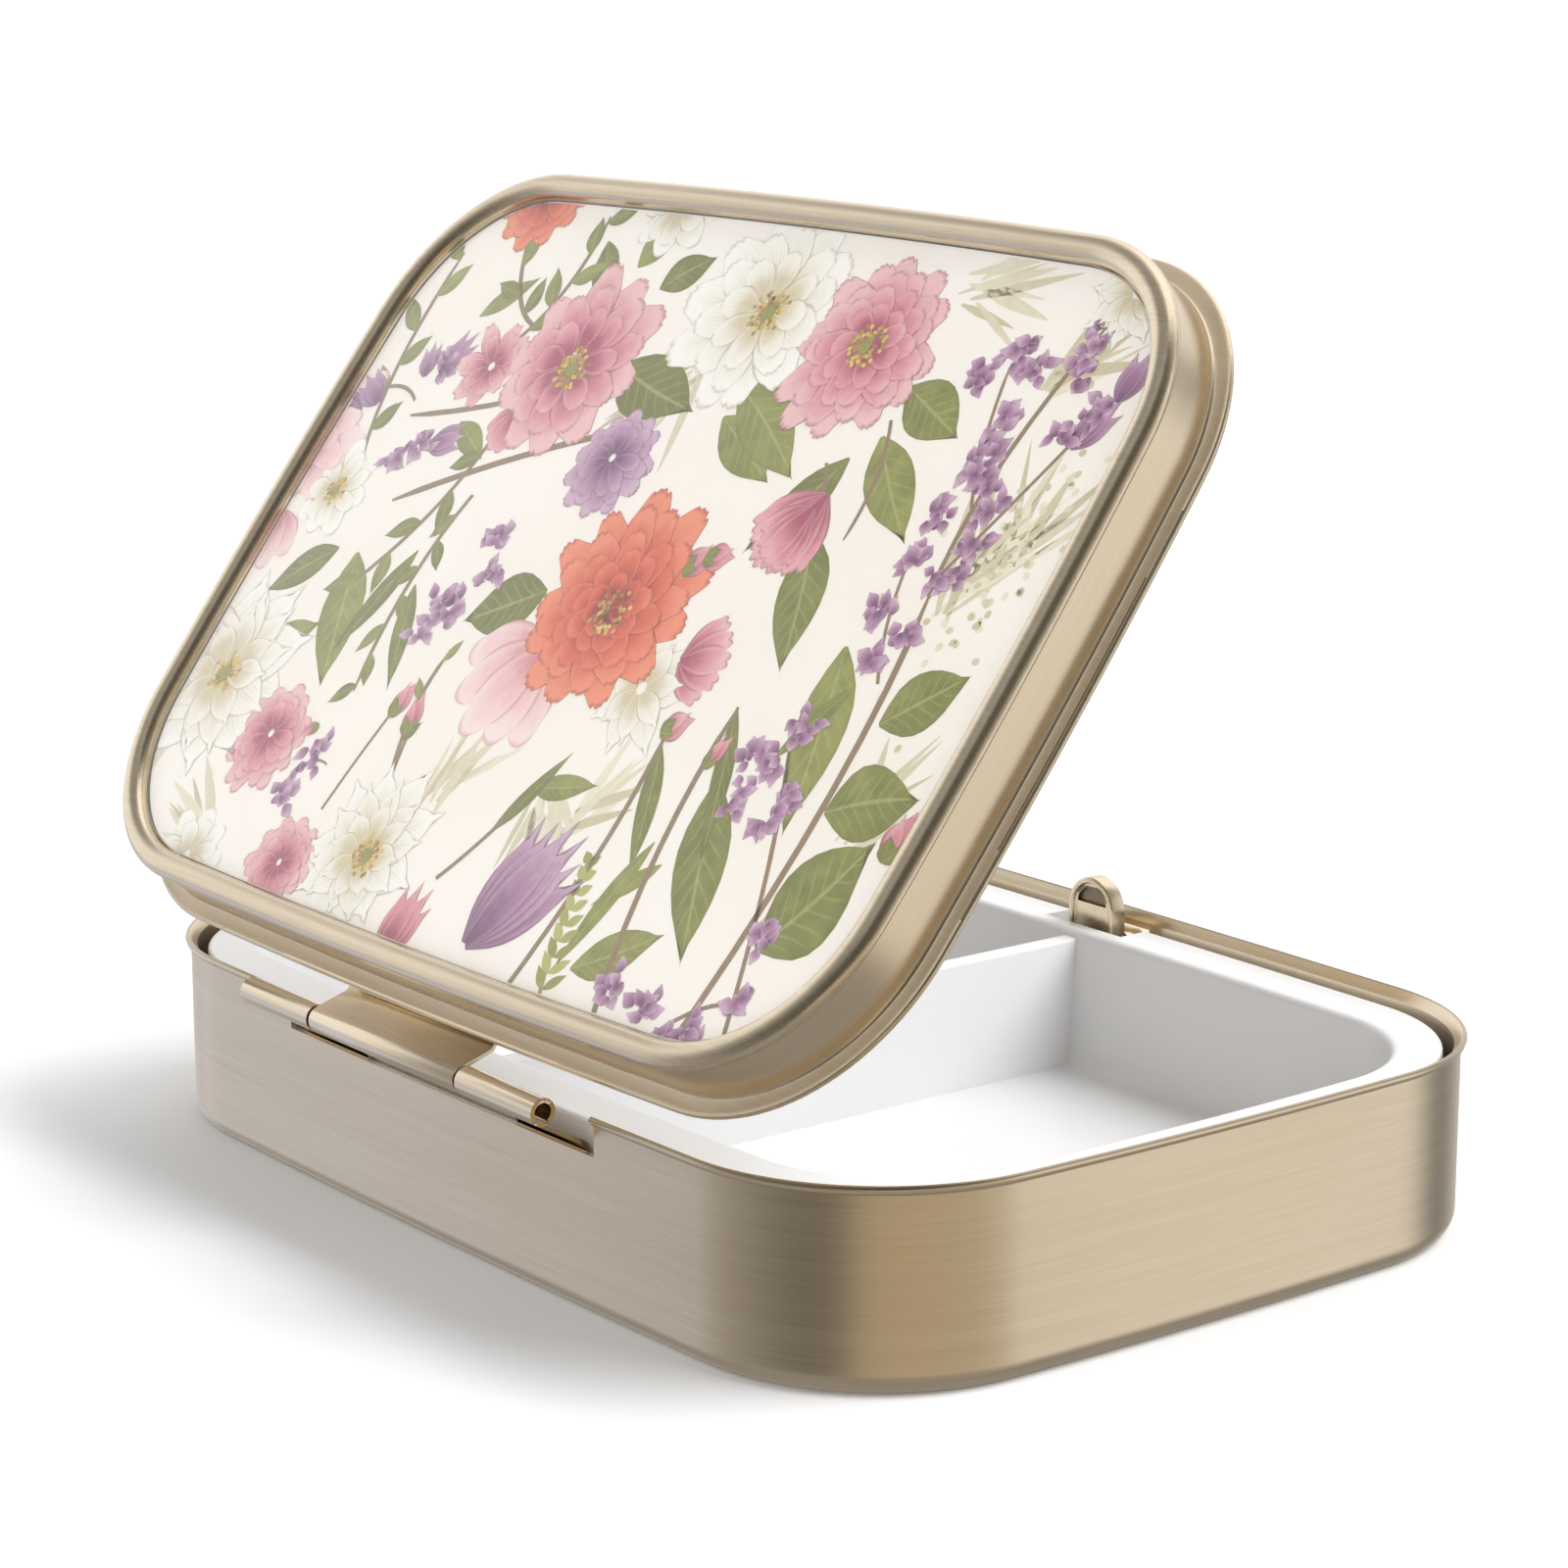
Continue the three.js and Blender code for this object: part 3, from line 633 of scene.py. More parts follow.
def makeLid():
    b = lidBox
    half = b["bead"] / 2
    crest = recessInset - half
    flangeZ = lidZ + b["flangeThickness"]
    rise = b["beadRise"]
    piece = startOutline("lidShell", boxSize, lidZ + 0.22, 1)
    rows = [(inset, lidZ + z) for inset, z in b["curlOut"]]
    band = b["flange"]
    rows += [(band - 0.25, flangeZ - 0.04), (band - 0.12, flangeZ), (band - 0.04, flangeZ + 0.1),
             (band, flangeZ + 0.28), (band, flangeZ + 0.32), (band, lidTop - rise - 0.28),
             (band, lidTop - rise - 0.24), (crest - half + 0.05, lidTop - rise - 0.2)]
    for degrees in range(-14, 167, 9):
        a = math.radians(degrees)
        rows.append((crest - half * math.cos(a), lidTop - rise * (1 - math.sin(a))))
    rows += [(recessInset, lidTop - rise + 0.05), (recessInset, recessZ + 0.02), (recessInset, recessZ),
             (recessInset + 0.04, recessZ)]
    followRows(piece, rows, boxSize)
    capMouth()
    wall = band + b["sheet"]
    rows = [(inset, lidZ + z) for inset, z in b["curlIn"]]
    rows += [(wall - 0.06, lidZ), (wall, lidZ + 0.06), (wall, lidTop - 0.75), (wall + 0.1, lidTop - 0.5),
             (crest, lidTop - 0.35), (recessInset - 0.45, lidTop - 0.55),
             (recessInset - 0.35, recessZ - 0.35)]
    followRows(piece, rows, boxSize)
    bpy.ops.object.mode_set(mode="OBJECT")
    dress(piece, lidGold, bandGold, flangeGold)
    corner = Vector((boxSize["length"] / 2, boxSize["width"] / 2))
    for face in piece.data.polygons:
        upright = abs(face.normal.z) < 0.3 and lidZ + 0.5 < face.center.z < lidTop - rise - 0.1
        fromEdge = min(corner.x - abs(face.center.x), corner.y - abs(face.center.y))
        onFlange = face.normal.z > 0.7 and flangeZ - 0.1 < face.center.z < flangeZ + 0.2 and fromEdge > 0.3
        face.material_index = 1 if upright else 2 if onFlange else 0
    settle(piece, "lid", None, ("lid_shell",), onLid=True)


makeLid()
print("lid made")


# picture card and its clear cover

card = {
    "gap": 0.08,
    "thickness": 0.25,
    "lift": 0.05,
    "coverLift": 0.12,
    "coverEdge": 0.33,
    "coverRise": 0.85,
    "crown": 2.4,
}
cardSize = dict(boxSize)
cardInset = recessInset + card["gap"]
cardSize.update({"length": boxSize["length"] - 2 * cardInset, "width": boxSize["width"] - 2 * cardInset,
                 "corner": boxSize["corner"] - cardInset})
cardSize["longBow"] = boxSize["longBow"] * 0.93
cardSize["shortBow"] = boxSize["shortBow"] * 0.9
cardTop = recessZ + card["lift"] + card["thickness"]


def makeCard():
    piece = startOutline("pictureCard", cardSize, recessZ + card["lift"], 1)
    followRows(piece, [(0, recessZ + card["lift"]), (0, cardTop - 0.02), (0.02, cardTop)], cardSize)
    capMouth()
    settle(piece, "lid", cardCream, ("print_card",), 30, onLid=True)


def makeCover():
    z = cardTop + card["coverLift"]
    piece = startOutline("clearCover", cardSize, z, 1)
    edge = z + card["coverEdge"]
    rows = [(0, z), (0, edge - 0.16), (0.02, edge - 0.08), (0.07, edge - 0.02), (0.16, edge + 0.03)]
    followRows(piece, rows, cardSize)
    before, height = 1.0, edge + 0.03
    for scale in (0.985, 0.965, 0.94, 0.91, 0.87, 0.82, 0.76, 0.68, 0.58, 0.46, 0.33, 0.2, 0.08):
        top = edge + 0.03 + (card["coverRise"] - 0.03) * (1 - scale ** card["crown"])
        pull(0, 0, top - height)
        bpy.ops.transform.resize(value=(scale / before, scale / before, 1), center_override=(0, 0, 0))
        before, height = scale, top
    capMouth()
    settle(piece, "lid", coverClear, ("cover_dome",), 50, onLid=True)


makeCard()
makeCover()
print("card and cover made")


# printed flowers: every petal and leaf is a thin flat shape, laid in order over the card

printing = {
    "first": 0.004,
    "layer": 0.0014,
    "clipInset": 0.12,
    "paints": {},
}


def selectPoints(piece, wanted):
    bpy.ops.object.mode_set(mode="EDIT")
    bpy.ops.mesh.select_mode(type="VERT")
    bpy.ops.mesh.select_all(action="DESELECT")
    bpy.ops.object.mode_set(mode="OBJECT")
    for i in wanted:
        piece.data.vertices[i].select = True
    bpy.ops.object.mode_set(mode="EDIT")


# a grid one unit long, each row drawn in to its width and each column to its length
def flatShape(name, widths, reaches, bend=0.0):
    nothingSelected()
    rows, columns = len(widths) - 1, len(reaches) - 1
    bpy.ops.mesh.primitive_grid_add(x_subdivisions=columns, y_subdivisions=rows, size=1, location=(0, 0.5, 0))
    piece = added(name)
    points = [v.co.copy() for v in piece.data.vertices]
    for row, width in enumerate(widths):
        along = row / rows
        selectPoints(piece, [i for i, p in enumerate(points) if abs(p.y - along) < 0.01])
        bpy.ops.transform.resize(value=(width, 1, 1), center_override=(0, along, 0))
        bpy.ops.transform.translate(value=(bend * along ** 2, 0, 0))
    for column, reach in enumerate(reaches):
        across = column / columns - 0.5
        selectPoints(piece, [i for i, p in enumerate(points) if abs(p.x - across) < 0.01])
        bpy.ops.transform.resize(value=(1, reach, 1), center_override=(0, 0, 0))
    bpy.ops.object.mode_set(mode="OBJECT")
    return piece


def dotShape():
    nothingSelected()
    bpy.ops.mesh.primitive_circle_add(vertices=9, radius=0.5, fill_type="NGON")
    return bpy.context.object


petalRows = (0.2, 0.42, 0.64, 0.82, 0.94, 1.0, 0.98, 0.88, 0.66)
pointedRows = (0.3, 0.58, 0.82, 0.96, 1.0, 0.94, 0.78, 0.52, 0.14)
leafRows = (0.07, 0.5, 0.82, 0.98, 1.0, 0.91, 0.72, 0.43, 0.03)
shapes = {
    "round": flatShape("roundPetal", petalRows, (0.8, 0.91, 0.965, 0.99, 1.0, 0.985, 0.96, 0.9, 0.8)),
    "notched": flatShape("notchedPetal", petalRows, (0.82, 0.94, 0.985, 0.98, 0.93, 0.975, 0.99, 0.93, 0.81)),
    "ruffled": flatShape("ruffledPetal", petalRows,
                         (0.8, 0.91, 0.955, 0.945, 0.985, 0.97, 0.99, 0.93, 0.955, 0.9, 0.79)),
    "pointed": flatShape("pointedPetal", pointedRows, (0.82, 0.94, 1.0, 0.94, 0.82)),
    "leaf": flatShape("straightLeaf", leafRows, (0.92, 0.97, 1.0, 0.97, 0.92)),
    "leafLeft": flatShape("leftLeaf", leafRows, (0.92, 0.97, 1.0, 0.97, 0.92), -0.22),
    "leafRight": flatShape("rightLeaf", leafRows, (0.92, 0.97, 1.0, 0.97, 0.92), 0.22),
    "blade": flatShape("grassBlade", (0.3, 0.7, 1.0, 0.95, 0.75, 0.45, 0.05), (1.0, 1.0, 1.0), 0.12),
    "floret": flatShape("smallFloret", (0.25, 0.8, 1.0, 0.75, 0.3), (0.85, 0.97, 1.0, 0.95, 0.85)),
    "dot": dotShape(),
}


def layerZ(layer):
    return cardTop + printing["first"] + printing["layer"] * layer


def printOn(piece, paint, shade):
    tone = piece.data.attributes.new("shade", "FLOAT", "POINT")
    tone.data.foreach_set("value", [shade] * len(piece.data.vertices))
    printing["paints"].setdefault(paint, []).append(piece)


# one petal or leaf from x, y, pointing along the angle in degrees
def lay(shape, paint, x, y, length, width, angle, layer, shade=0.3):
    piece = shapes[shape].copy()
    piece.data = shapes[shape].data.copy()
    bpy.context.collection.objects.link(piece)
    turn = Matrix.Rotation(math.radians(angle - 90), 4, "Z")
    size = Matrix.Diagonal((width, length, 1, 1))
    piece.data.transform(Matrix.Translation((x, y, layerZ(layer))) @ turn @ size)
    printOn(piece, paint, shade)


def rings(paint, shape, x, y, radius, ringList, start, lean=(0, 0.0)):
    layer = start
    for index, (count, inner, reach, width, shade) in enumerate(ringList):
        for k in range(count):
            angle = 360 * (k + 0.5 * index + random.uniform(-0.13, 0.13)) / count
            away = math.radians(angle)
            stretch = 1 + lean[1] * math.cos(away - math.radians(lean[0]))
            px, py = x + radius * inner * math.cos(away), y + radius * inner * math.sin(away)
            lay(shape, paint, px, py, radius * reach * stretch * random.uniform(0.92, 1.06),
                radius * width * random.uniform(0.9, 1.12), angle + random.uniform(-7, 7), layer,
                shade + random.uniform(-0.14, 0.14))
            layer += 1


def fan(paint, shape, x, y, direction, spread, count, length, width, start, shade=0.3):
    order = sorted(range(count), key=lambda k: -abs(k - (count - 1) / 2))
    for step, k in enumerate(order):
        angle = direction + spread * (k / (count - 1) - 0.5)
        middle = 1 - abs(k - (count - 1) / 2) / count
        lay(shape, paint, x, y, length * (0.8 + 0.25 * middle) * random.uniform(0.95, 1.05), width,
            angle, start + step, shade + random.uniform(-0.12, 0.12) + (1 - middle) * 0.25)


def stamens(x, y, radius, paint, count, start):
    lay("dot", "fern", x, y, radius * 0.7, radius * 0.7, 0, start + 1, 0.1)
    for k in range(2 * count):
        angle = 360 * k / count + random.uniform(-9, 9)
        away = radius * random.uniform(0.45, 1.0)
        px, py = x + away * math.cos(math.radians(angle)), y + away * math.sin(math.radians(angle))
        lay("blade", "gold", x, y, away * 0.95, 0.1, angle, start, 0.3)
        lay("dot", paint, px, py, 0.3, 0.3, angle, start + 2 + k % 3, random.uniform(0, 1))


def line(paint, points, width, layer, shade=0.4):
    steps = 9
    (ax, ay), (bx, by), (cx, cy) = points
    path = []
    for i in range(steps + 1):
        t = i / steps
        path.append(((1 - t) ** 2 * ax + 2 * t * (1 - t) * bx + t * t * cx,
                     (1 - t) ** 2 * ay + 2 * t * (1 - t) * by + t * t * cy))
    chord = Vector((cx - ax, cy - ay)).normalized()
    piece = startPoint("stem", ax + chord.y * width / 2, ay - chord.x * width / 2, layerZ(layer))
    pull(-chord.y * width, chord.x * width, 0)
    selectAll()
    for (fromX, fromY), (toX, toY) in zip(path, path[1:]):
        pull(toX - fromX, toY - fromY, 0)
    bpy.ops.transform.resize(value=(0.45, 0.45, 1))
    bpy.ops.object.mode_set(mode="OBJECT")
    if piece.data.polygons[0].normal.z < 0:
        piece.data.flip_normals()
    printOn(piece, paint, shade)


def leafBetween(paint, shape, ax, ay, bx, by, width, layer):
    heading = math.degrees(math.atan2(by - ay, bx - ax))
    lay(shape, paint, ax, ay, math.hypot(bx - ax, by - ay), width, heading, layer, random.uniform(0.1, 0.7))


# each ring: how many petals, where they start, how long, how wide, how deep in tone
fullRings = [(12, 0.12, 0.92, 0.48, 0.05), (12, 0.1, 0.78, 0.42, 0.3), (10, 0.08, 0.62, 0.36, 0.5),
             (9, 0.05, 0.46, 0.3, 0.7), (7, 0.02, 0.32, 0.24, 0.9)]
openRings = [(10, 0.14, 0.9, 0.54, 0.05), (10, 0.14, 0.7, 0.42, 0.35), (8, 0.12, 0.5, 0.32, 0.6)]
singleRings = [(8, 0.1, 0.92, 0.56, 0.12), (7, 0.1, 0.68, 0.44, 0.4)]


def printLeaves():
    broad = [(-4.3, -1.5, -10, -4.4, 4.0), (-9, 12.5, -1, 9.6, 4.2), (2, 12.5, 10.5, 8.4, 3.6),
             (2, 10.5, 8.5, 7.2, 3.0), (15, 11, 20.4, 5.0, 3.2), (14, 5, 17.8, -2.4, 3.4),
             (15, 14, 20.6, 11.6, 3.4), (-12.5, 18.6, -10.8, 22.6, 2.4), (-9.5, 17.5, -6.4, 20.4, 2.6),
             (-23, -2, -19.2, -10.5, 3.6), (-25, -2, -30, -5.4, 2.4), (20.8, -0.5, 24.4, -10.6, 3.6),
             (17, -9, 21.6, -18.6, 3.6), (26, -16.5, 31, -10.4, 5.4), (25.6, -9, 31, -6.2, 4.4),
             (26, -4, 30.4, -0.4, 3.6), (14, -20.5, 19.6, -17.8, 2.6), (13.5, 9.5, 10, 2.8, 2.8),
             (-27, -9.5, -22.6, -6.6, 2.4), (3.5, -12.2, 8.6, -11.4, 1.6), (-16.5, 20, -13.4, 15.8, 2.0),
             (-20.5, 7.2, -16.5, 5.2, 1.8)]
    for k, (ax, ay, bx, by, width) in enumerate(broad):
        leafBetween("leaf", ("leaf", "leafLeft", "leafRight")[k % 3], ax, ay, bx, by, width, 3 + k % 3)
    narrow = [(11.5, -8, 14.8, -15, 1.5), (15, -13, 12.4, -21, 1.3), (15.5, -5, 19.4, -13.4, 1.4),
              (-16, -3, -13.4, -9.6, 1.6), (-17.5, -1, -19.8, -8.4, 1.6), (23, -2.4, 19.6, -7.4, 1.2),
              (16.4, -14, 13, -17.4, 1.1), (2.2, -15.2, 5.4, -9.8, 1.1), (-24.5, 14, -21, 17.4, 1.5)]
    for k, (ax, ay, bx, by, width) in enumerate(narrow):
        leafBetween("leaf", ("leafRight", "leafLeft")[k % 2], ax, ay, bx, by, width, 4 + k % 3)
    sprigs = [((-28, 4), (-30.6, 10), (-29.6, 18), 6, 3.1), ((-19, 14), (-22.5, 15), (-24.5, 20.5), 4, 2.9),
              ((-20, 12.5), (-17, 16), (-17.6, 21.6), 5, 3.0),
              ((-16.5, 7.5), (-17.5, 1), (-22, -4), 5, 2.9), ((-15.5, 3), (-17.5, -3), (-16, -10), 7, 2.3),
              ((-8.5, -14), (-10.5, -10), (-9.6, -6.4), 3, 1.6)]
    for start, middle, end, count, length in sprigs:
        line("stem", (start, middle, end), 0.34, 6)
        for k in range(count):
            t = (k + 0.8) / count
            x = (1 - t) ** 2 * start[0] + 2 * t * (1 - t) * middle[0] + t * t * end[0]
            y = (1 - t) ** 2 * start[1] + 2 * t * (1 - t) * middle[1] + t * t * end[1]
            heading = math.degrees(math.atan2(end[1] - start[1], end[0] - start[0]))
            side = 1 if k % 2 else -1
            lay(("leafLeft", "leafRight")[k % 2], "leaf", x, y, length * random.uniform(0.85, 1.1),
                length * 0.42, heading + side * random.uniform(34, 52), 7 + k % 3, random.uniform(0, 0.6))


def printStems():
    for points, width in [(((18, -24), (14.6, -14), (15.6, -5)), 0.55),
                          (((0, -18.5), (1.6, -16.5), (3.2, -13.5)), 0.4),
                          (((23.6, -24), (26.5, -8), (24.6, 3)), 0.6),
                          (((24.6, 3), (23.4, 10), (26.6, 19)), 0.45),
                          (((27.4, -22), (24.2, -12), (20.6, -6)), 0.4),
                          (((10, -23), (12, -14), (11.4, -7)), 0.5),
                          (((-5.6, 8.6), (-14, 6), (-22.6, 1.6)), 0.6),
                          (((-12, 11), (-17, 8.6), (-25.6, 7)), 0.5),
                          (((12, 9), (13.6, 7), (13, 4.6)), 0.35), (((15, 12), (16.8, 9), (16.4, 5)), 0.35),
                          (((-7.4, -18), (-8.8, -13), (-9.4, -10)), 0.35),
                          (((-12.8, -17), (-12.2, -13), (-11.4, -10)), 0.3),
                          (((24.4, 4), (27, 9), (29.2, 14)), 0.3),
                          (((24.2, 8), (22.4, 11), (21.4, 16)), 0.3),
                          (((24.4, -2), (22.4, 1), (21.8, 5)), 0.3),
                          (((-26, 8), (-28, 9.4), (-30.6, 8)), 0.35),
                          (((-14.6, -14.5), (-16.4, -14), (-17.4, -16)), 0.25),
                          (((21, -24), (23.4, -20), (26.6, -19.4)), 0.35)]:
        line("stem", points, 0.75 * width, 5 + random.randrange(3))


def printPaleGrass():
    for x, y, heading, count, length in [
            (26, 3, 72, 16, 7.5), (28.5, 6, 80, 10, 6.5), (5, -12.5, -70, 12, 4.4),
            (-22, -20.5, 150, 12, 5.4), (-4, -14.5, 60, 10, 5.0), (25.4, 15.6, 50, 12, 6.0),
            (-2.6, 12.4, 250, 10, 6.4), (15.6, 20, 8, 10, 7.0), (-30, -14, 250, 8, 4.0),
            (8.6, -13.4, 62, 7, 6.0), (27.6, -10, 75, 8, 6.0), (-9, -20, 30, 8, 5.0)]:
        for k in range(count):
            spread = random.uniform(-38, 38)
            lay("blade", "paleGrass", x + random.uniform(-1, 1), y + random.uniform(-1, 1),
                length * random.uniform(0.6, 1.1), random.uniform(0.35, 0.8), heading + spread,
                k % 4, random.uniform(0, 1))
    for k in range(90):
        x, y = random.gauss(28.4, 1.6), random.gauss(5.5, 3.4)
        lay("dot", "paleGrass", x, y, 0.5, 0.42, random.uniform(0, 180), 4 + k % 3, random.uniform(0, 1))


def printClusters():
    places = [(21.5, 17), (23, 16.2), (19.7, 15.2), (26.2, 18.2), (29, 14.4), (27.7, 12.6), (23, 13.4),
              (23.6, 11.4), (24.3, 9.6), (25.5, 8.2), (22, 7.4), (25.5, 6.2), (22, 4.8), (25, 4.2),
              (21.9, 1.8), (24.5, 0.8), (23, -0.7), (20.4, -7.6), (21, -5), (22.4, -8.8), (19.2, -9.4),
              (26, -15.6), (27, -19), (20.6, -21), (24.6, -21.4), (18.8, -7), (22, -10.6), (-25.5, 10.8),
              (-23, 5.4), (-24.6, 4.2), (-11, 1.2), (-10, -1.4), (-11.4, -4), (-13, -5.2), (-12.6, -3.6),
              (-16, -14), (-17, -17), (17.8, -20.8), (23.2, -22.4), (22.6, 10.4), (26.8, 16.4)]
    for x, y in places:
        for k in range(13):
            away, angle = random.uniform(0.0, 1.0), random.uniform(0, 360)
            px, py = x + away * math.cos(math.radians(angle)), y + away * math.sin(math.radians(angle))
            lay("floret", "lilac", px, py, random.uniform(0.75, 1.25), random.uniform(0.6, 0.95),
                random.uniform(0, 360), 9 + k, random.uniform(-0.2, 0.5))


def printBlooms():
    # behind the coral flower, pale petals and a white one
    fan("palePink", "round", -1.6, -4.4, 242, 95, 5, 6.6, 3.6, 8, 0.2)
    rings("white", "pointed", 7.6, -5.4, 3.9, singleRings, 8, (330, 0.2))
    fan("pink", "notched", 9.4, -3.4, 10, 90, 5, 3.6, 1.9, 12, 0.4)
    rings("coral", "ruffled", 1.6, -1.6, 6.5, fullRings, 14, (75, 0.12))
    stamens(2.0, -1.9, 1.5, "gold", 22, 60)
    rings("pink", "ruffled", -13.4, 12, 6.2, openRings, 12, (40, 0.1))
    stamens(-13.1, 11.7, 1.5, "gold", 24, 40)
    rings("pink", "notched", -20.6, 11.0, 2.9, singleRings, 10, (150, 0.2))
    fan("pink", "round", -15.6, 8.4, 250, 80, 5, 2.6, 1.6, 10, 0.5)
    rings("white", "ruffled", 0.6, 17.2, 6.4, openRings, 10, (200, 0.08))
    stamens(0.9, 17.0, 1.5, "gold", 24, 38)
    rings("pink", "ruffled", 10.2, 16.0, 5.7, fullRings[:4], 16, (250, 0.08))
    stamens(10.1, 15.9, 1.4, "gold", 24, 56)
    rings("coral", "ruffled", -24.6, 22.8, 4.2, fullRings[:3], 10)
    rings("white", "round", -11.6, 22.8, 3.6, singleRings, 8)
    rings("lilac", "ruffled", -5.2, 6.9, 3.5, fullRings[:3], 12, (300, 0.2))
    rings("palePink", "round", -35.0, 4.6, 5.6, openRings, 10, (0, 0.2))
    fan("palePink", "round", -32.6, -0.6, 285, 60, 3, 3.8, 2.4, 9)
    rings("white", "round", -28.7, 1.4, 3.4, singleRings, 12, (60, 0.1))
    stamens(-28.5, 1.4, 0.95, "gold", 16, 28)
    rings("white", "pointed", -29.2, -11.2, 6.9, openRings, 10, (20, 0.1))
    stamens(-28.8, -11.2, 1.4, "gold", 22, 38)
    rings("pink", "ruffled", -21.2, -13.8, 3.5, fullRings[:3], 12, (270, 0.12))
    rings("white", "pointed", -7.2, -18.6, 5.4, openRings, 10, (70, 0.12))
    stamens(-6.6, -18.6, 1.3, "gold", 20, 38)
    rings("pink", "ruffled", -13.8, -20.6, 3.0, fullRings[:3], 12)
    rings("white", "round", -22.5, -22.0, 3.2, singleRings, 9)
    fan("pink", "pointed", -1.2, -23.6, 78, 40, 4, 4.6, 1.7, 14, 0.45)
    fan("lilac", "pointed", 5.2, -21.2, 62, 46, 6, 8.4, 2.7, 14, 0.25)
    fan("pink", "notched", 13.4, 7.2, 245, 70, 6, 5.2, 2.4, 12, 0.35)
    fan("pink", "notched", 12.9, 6.4, 245, 58, 5, 3.8, 2.0, 19, 0.5)
    rings("white", "pointed", 27.4, 21.0, 3.4, singleRings, 7)
    for x, y, heading, length, width in [
            (5.6, 1.4, 40, 2.6, 1.9), (6.8, 2.4, 10, 2.4, 1.8), (-11.6, -10.8, 70, 2.6, 1.5),
            (-9.4, -11.6, 95, 2.8, 1.5), (15.4, -8.6, 62, 2.4, 1.1), (31.2, -10.6, 80, 3.0, 2.2),
            (10.9, -7.4, 30, 2.4, 1.8), (-17.2, -12.6, 200, 1.6, 0.9), (-18.9, -14.6, 190, 1.5, 0.8)]:
        lay("pointed", "pink", x, y, length, width, heading, 20, 0.5)
        lay("pointed", "pink", x, y, length * 0.9, width * 0.55, heading + 14, 21, 0.25)
        lay("leaf", "leaf", x, y, length * 0.5, width * 0.5, heading + 26, 22, 0.5)
        lay("leaf", "leaf", x, y, length * 0.45, width * 0.45, heading - 28, 23, 0.3)
    for x, y, heading, length, width in [
            (-30.6, 6.4, 175, 3.8, 1.6), (-29.4, 7.4, 150, 3.2, 1.4), (-25.2, 10, 62, 3.4, 1.2),
            (-26.4, 9.6, 110, 2.4, 1.0), (28.6, 12.2, 60, 3.4, 1.3), (30, 15, 80, 3.0, 1.2),
            (-22.2, 5.4, 20, 3.2, 1.3)]:
        fan("lilac", "pointed", x, y, heading, 34, 3, length, width, 12, 0.3)


# the fern beside the tulip
def printFern():
    line("fern", ((13.4, -23.6), (11.2, -19), (10.9, -14.6)), 0.3, 6)
    for k in range(9):
        y = -22 + k * 0.86
        x = 12.8 - k * 0.22
        for side in (-1, 1):
            lay("leaf", "fern", x, y, 1.7 - 0.1 * k, 0.62, 90 + side * 48, 7 + k % 2, random.uniform(0, 0.8))


def clipToCard(piece):
    radius = cardSize["corner"] - printing["clipInset"]
    pickOnly(piece)
    bpy.ops.object.mode_set(mode="EDIT")
    arcs = outlineArcs(**cardSize)
    start = 0
    for x, y, sweep, steps in arcs:
        onCorner = steps == boxSize["cornerSteps"]
        planes = 8 if onCorner else 4
        centre = Vector((x, y, 0))
        half = cardSize["length"] / 2 if abs(x) > 0.001 else cardSize["width"] / 2
        offset = abs(centre.x if abs(x) > 0.001 else centre.y)
        reach = radius if onCorner else offset + half - printing["clipInset"]
        for k in range(planes):
            a = start + sweep * (k + 0.5) / planes
            out = Vector((math.cos(a), math.sin(a), 0))
            selectAll()
            bpy.ops.mesh.bisect(plane_co=centre + out * reach, plane_no=out, clear_outer=True)
        start += sweep
    bpy.ops.object.mode_set(mode="OBJECT")


paints = {
    "coral": petalPaint("coral petals", (0.34, 0.03, 0.015),
                        (0.70, 0.12, 0.052), (0.86, 0.28, 0.15), (0.34, 0.035, 0.018), 0.3),
    "pink": petalPaint("pink petals", (0.40, 0.075, 0.12),
                        (0.70, 0.27, 0.31), (0.86, 0.54, 0.53), (0.38, 0.09, 0.14), 0.28),
    "palePink": petalPaint("pale pink petals", (0.66, 0.25, 0.29),
                        (0.86, 0.54, 0.53), (0.94, 0.77, 0.73), (0.62, 0.29, 0.31)),
    "white": petalPaint("white petals", (0.70, 0.60, 0.40),
                        (0.90, 0.86, 0.74), (0.975, 0.955, 0.895), (0.50, 0.43, 0.27), 0.3),
    "lilac": petalPaint("lilac petals", (0.20, 0.08, 0.17),
                        (0.42, 0.22, 0.35), (0.64, 0.44, 0.56), (0.20, 0.08, 0.17)),
    "leaf": leafPaint("olive leaves", (0.17, 0.18, 0.035), (0.34, 0.35, 0.085), (0.50, 0.50, 0.18)),
    "fern": dotPaint("green fern", (0.28, 0.28, 0.07), (0.50, 0.50, 0.16)),
    "paleGrass": dotPaint("pale grasses", (0.60, 0.53, 0.34), (0.84, 0.78, 0.60)),
    "stem": dotPaint("brown stems", (0.22, 0.14, 0.075), (0.38, 0.28, 0.17)),
    "gold": dotPaint("gold stamens", (0.36, 0.21, 0.03), (0.76, 0.56, 0.14)),
}


def makePrint():
    printPaleGrass()
    printStems()
    printLeaves()
    printFern()
    printClusters()
    printBlooms()
    for name, pieces in printing["paints"].items():
        nothingSelected()
        for piece in pieces:
            piece.select_set(True)
        joined = pieces[0]
        bpy.context.view_layer.objects.active = joined
        bpy.ops.object.join()
        joined.name = name + "Print"
        joined.data.materials.clear()
        clipToCard(joined)
        settle(joined, "lid", paints[name], (), 0, onLid=True)
        print(name, "printed,", len(joined.data.polygons), "faces")
    for shape in shapes.values():
        bpy.data.objects.remove(shape)


makePrint()
print("flowers printed")


# tray

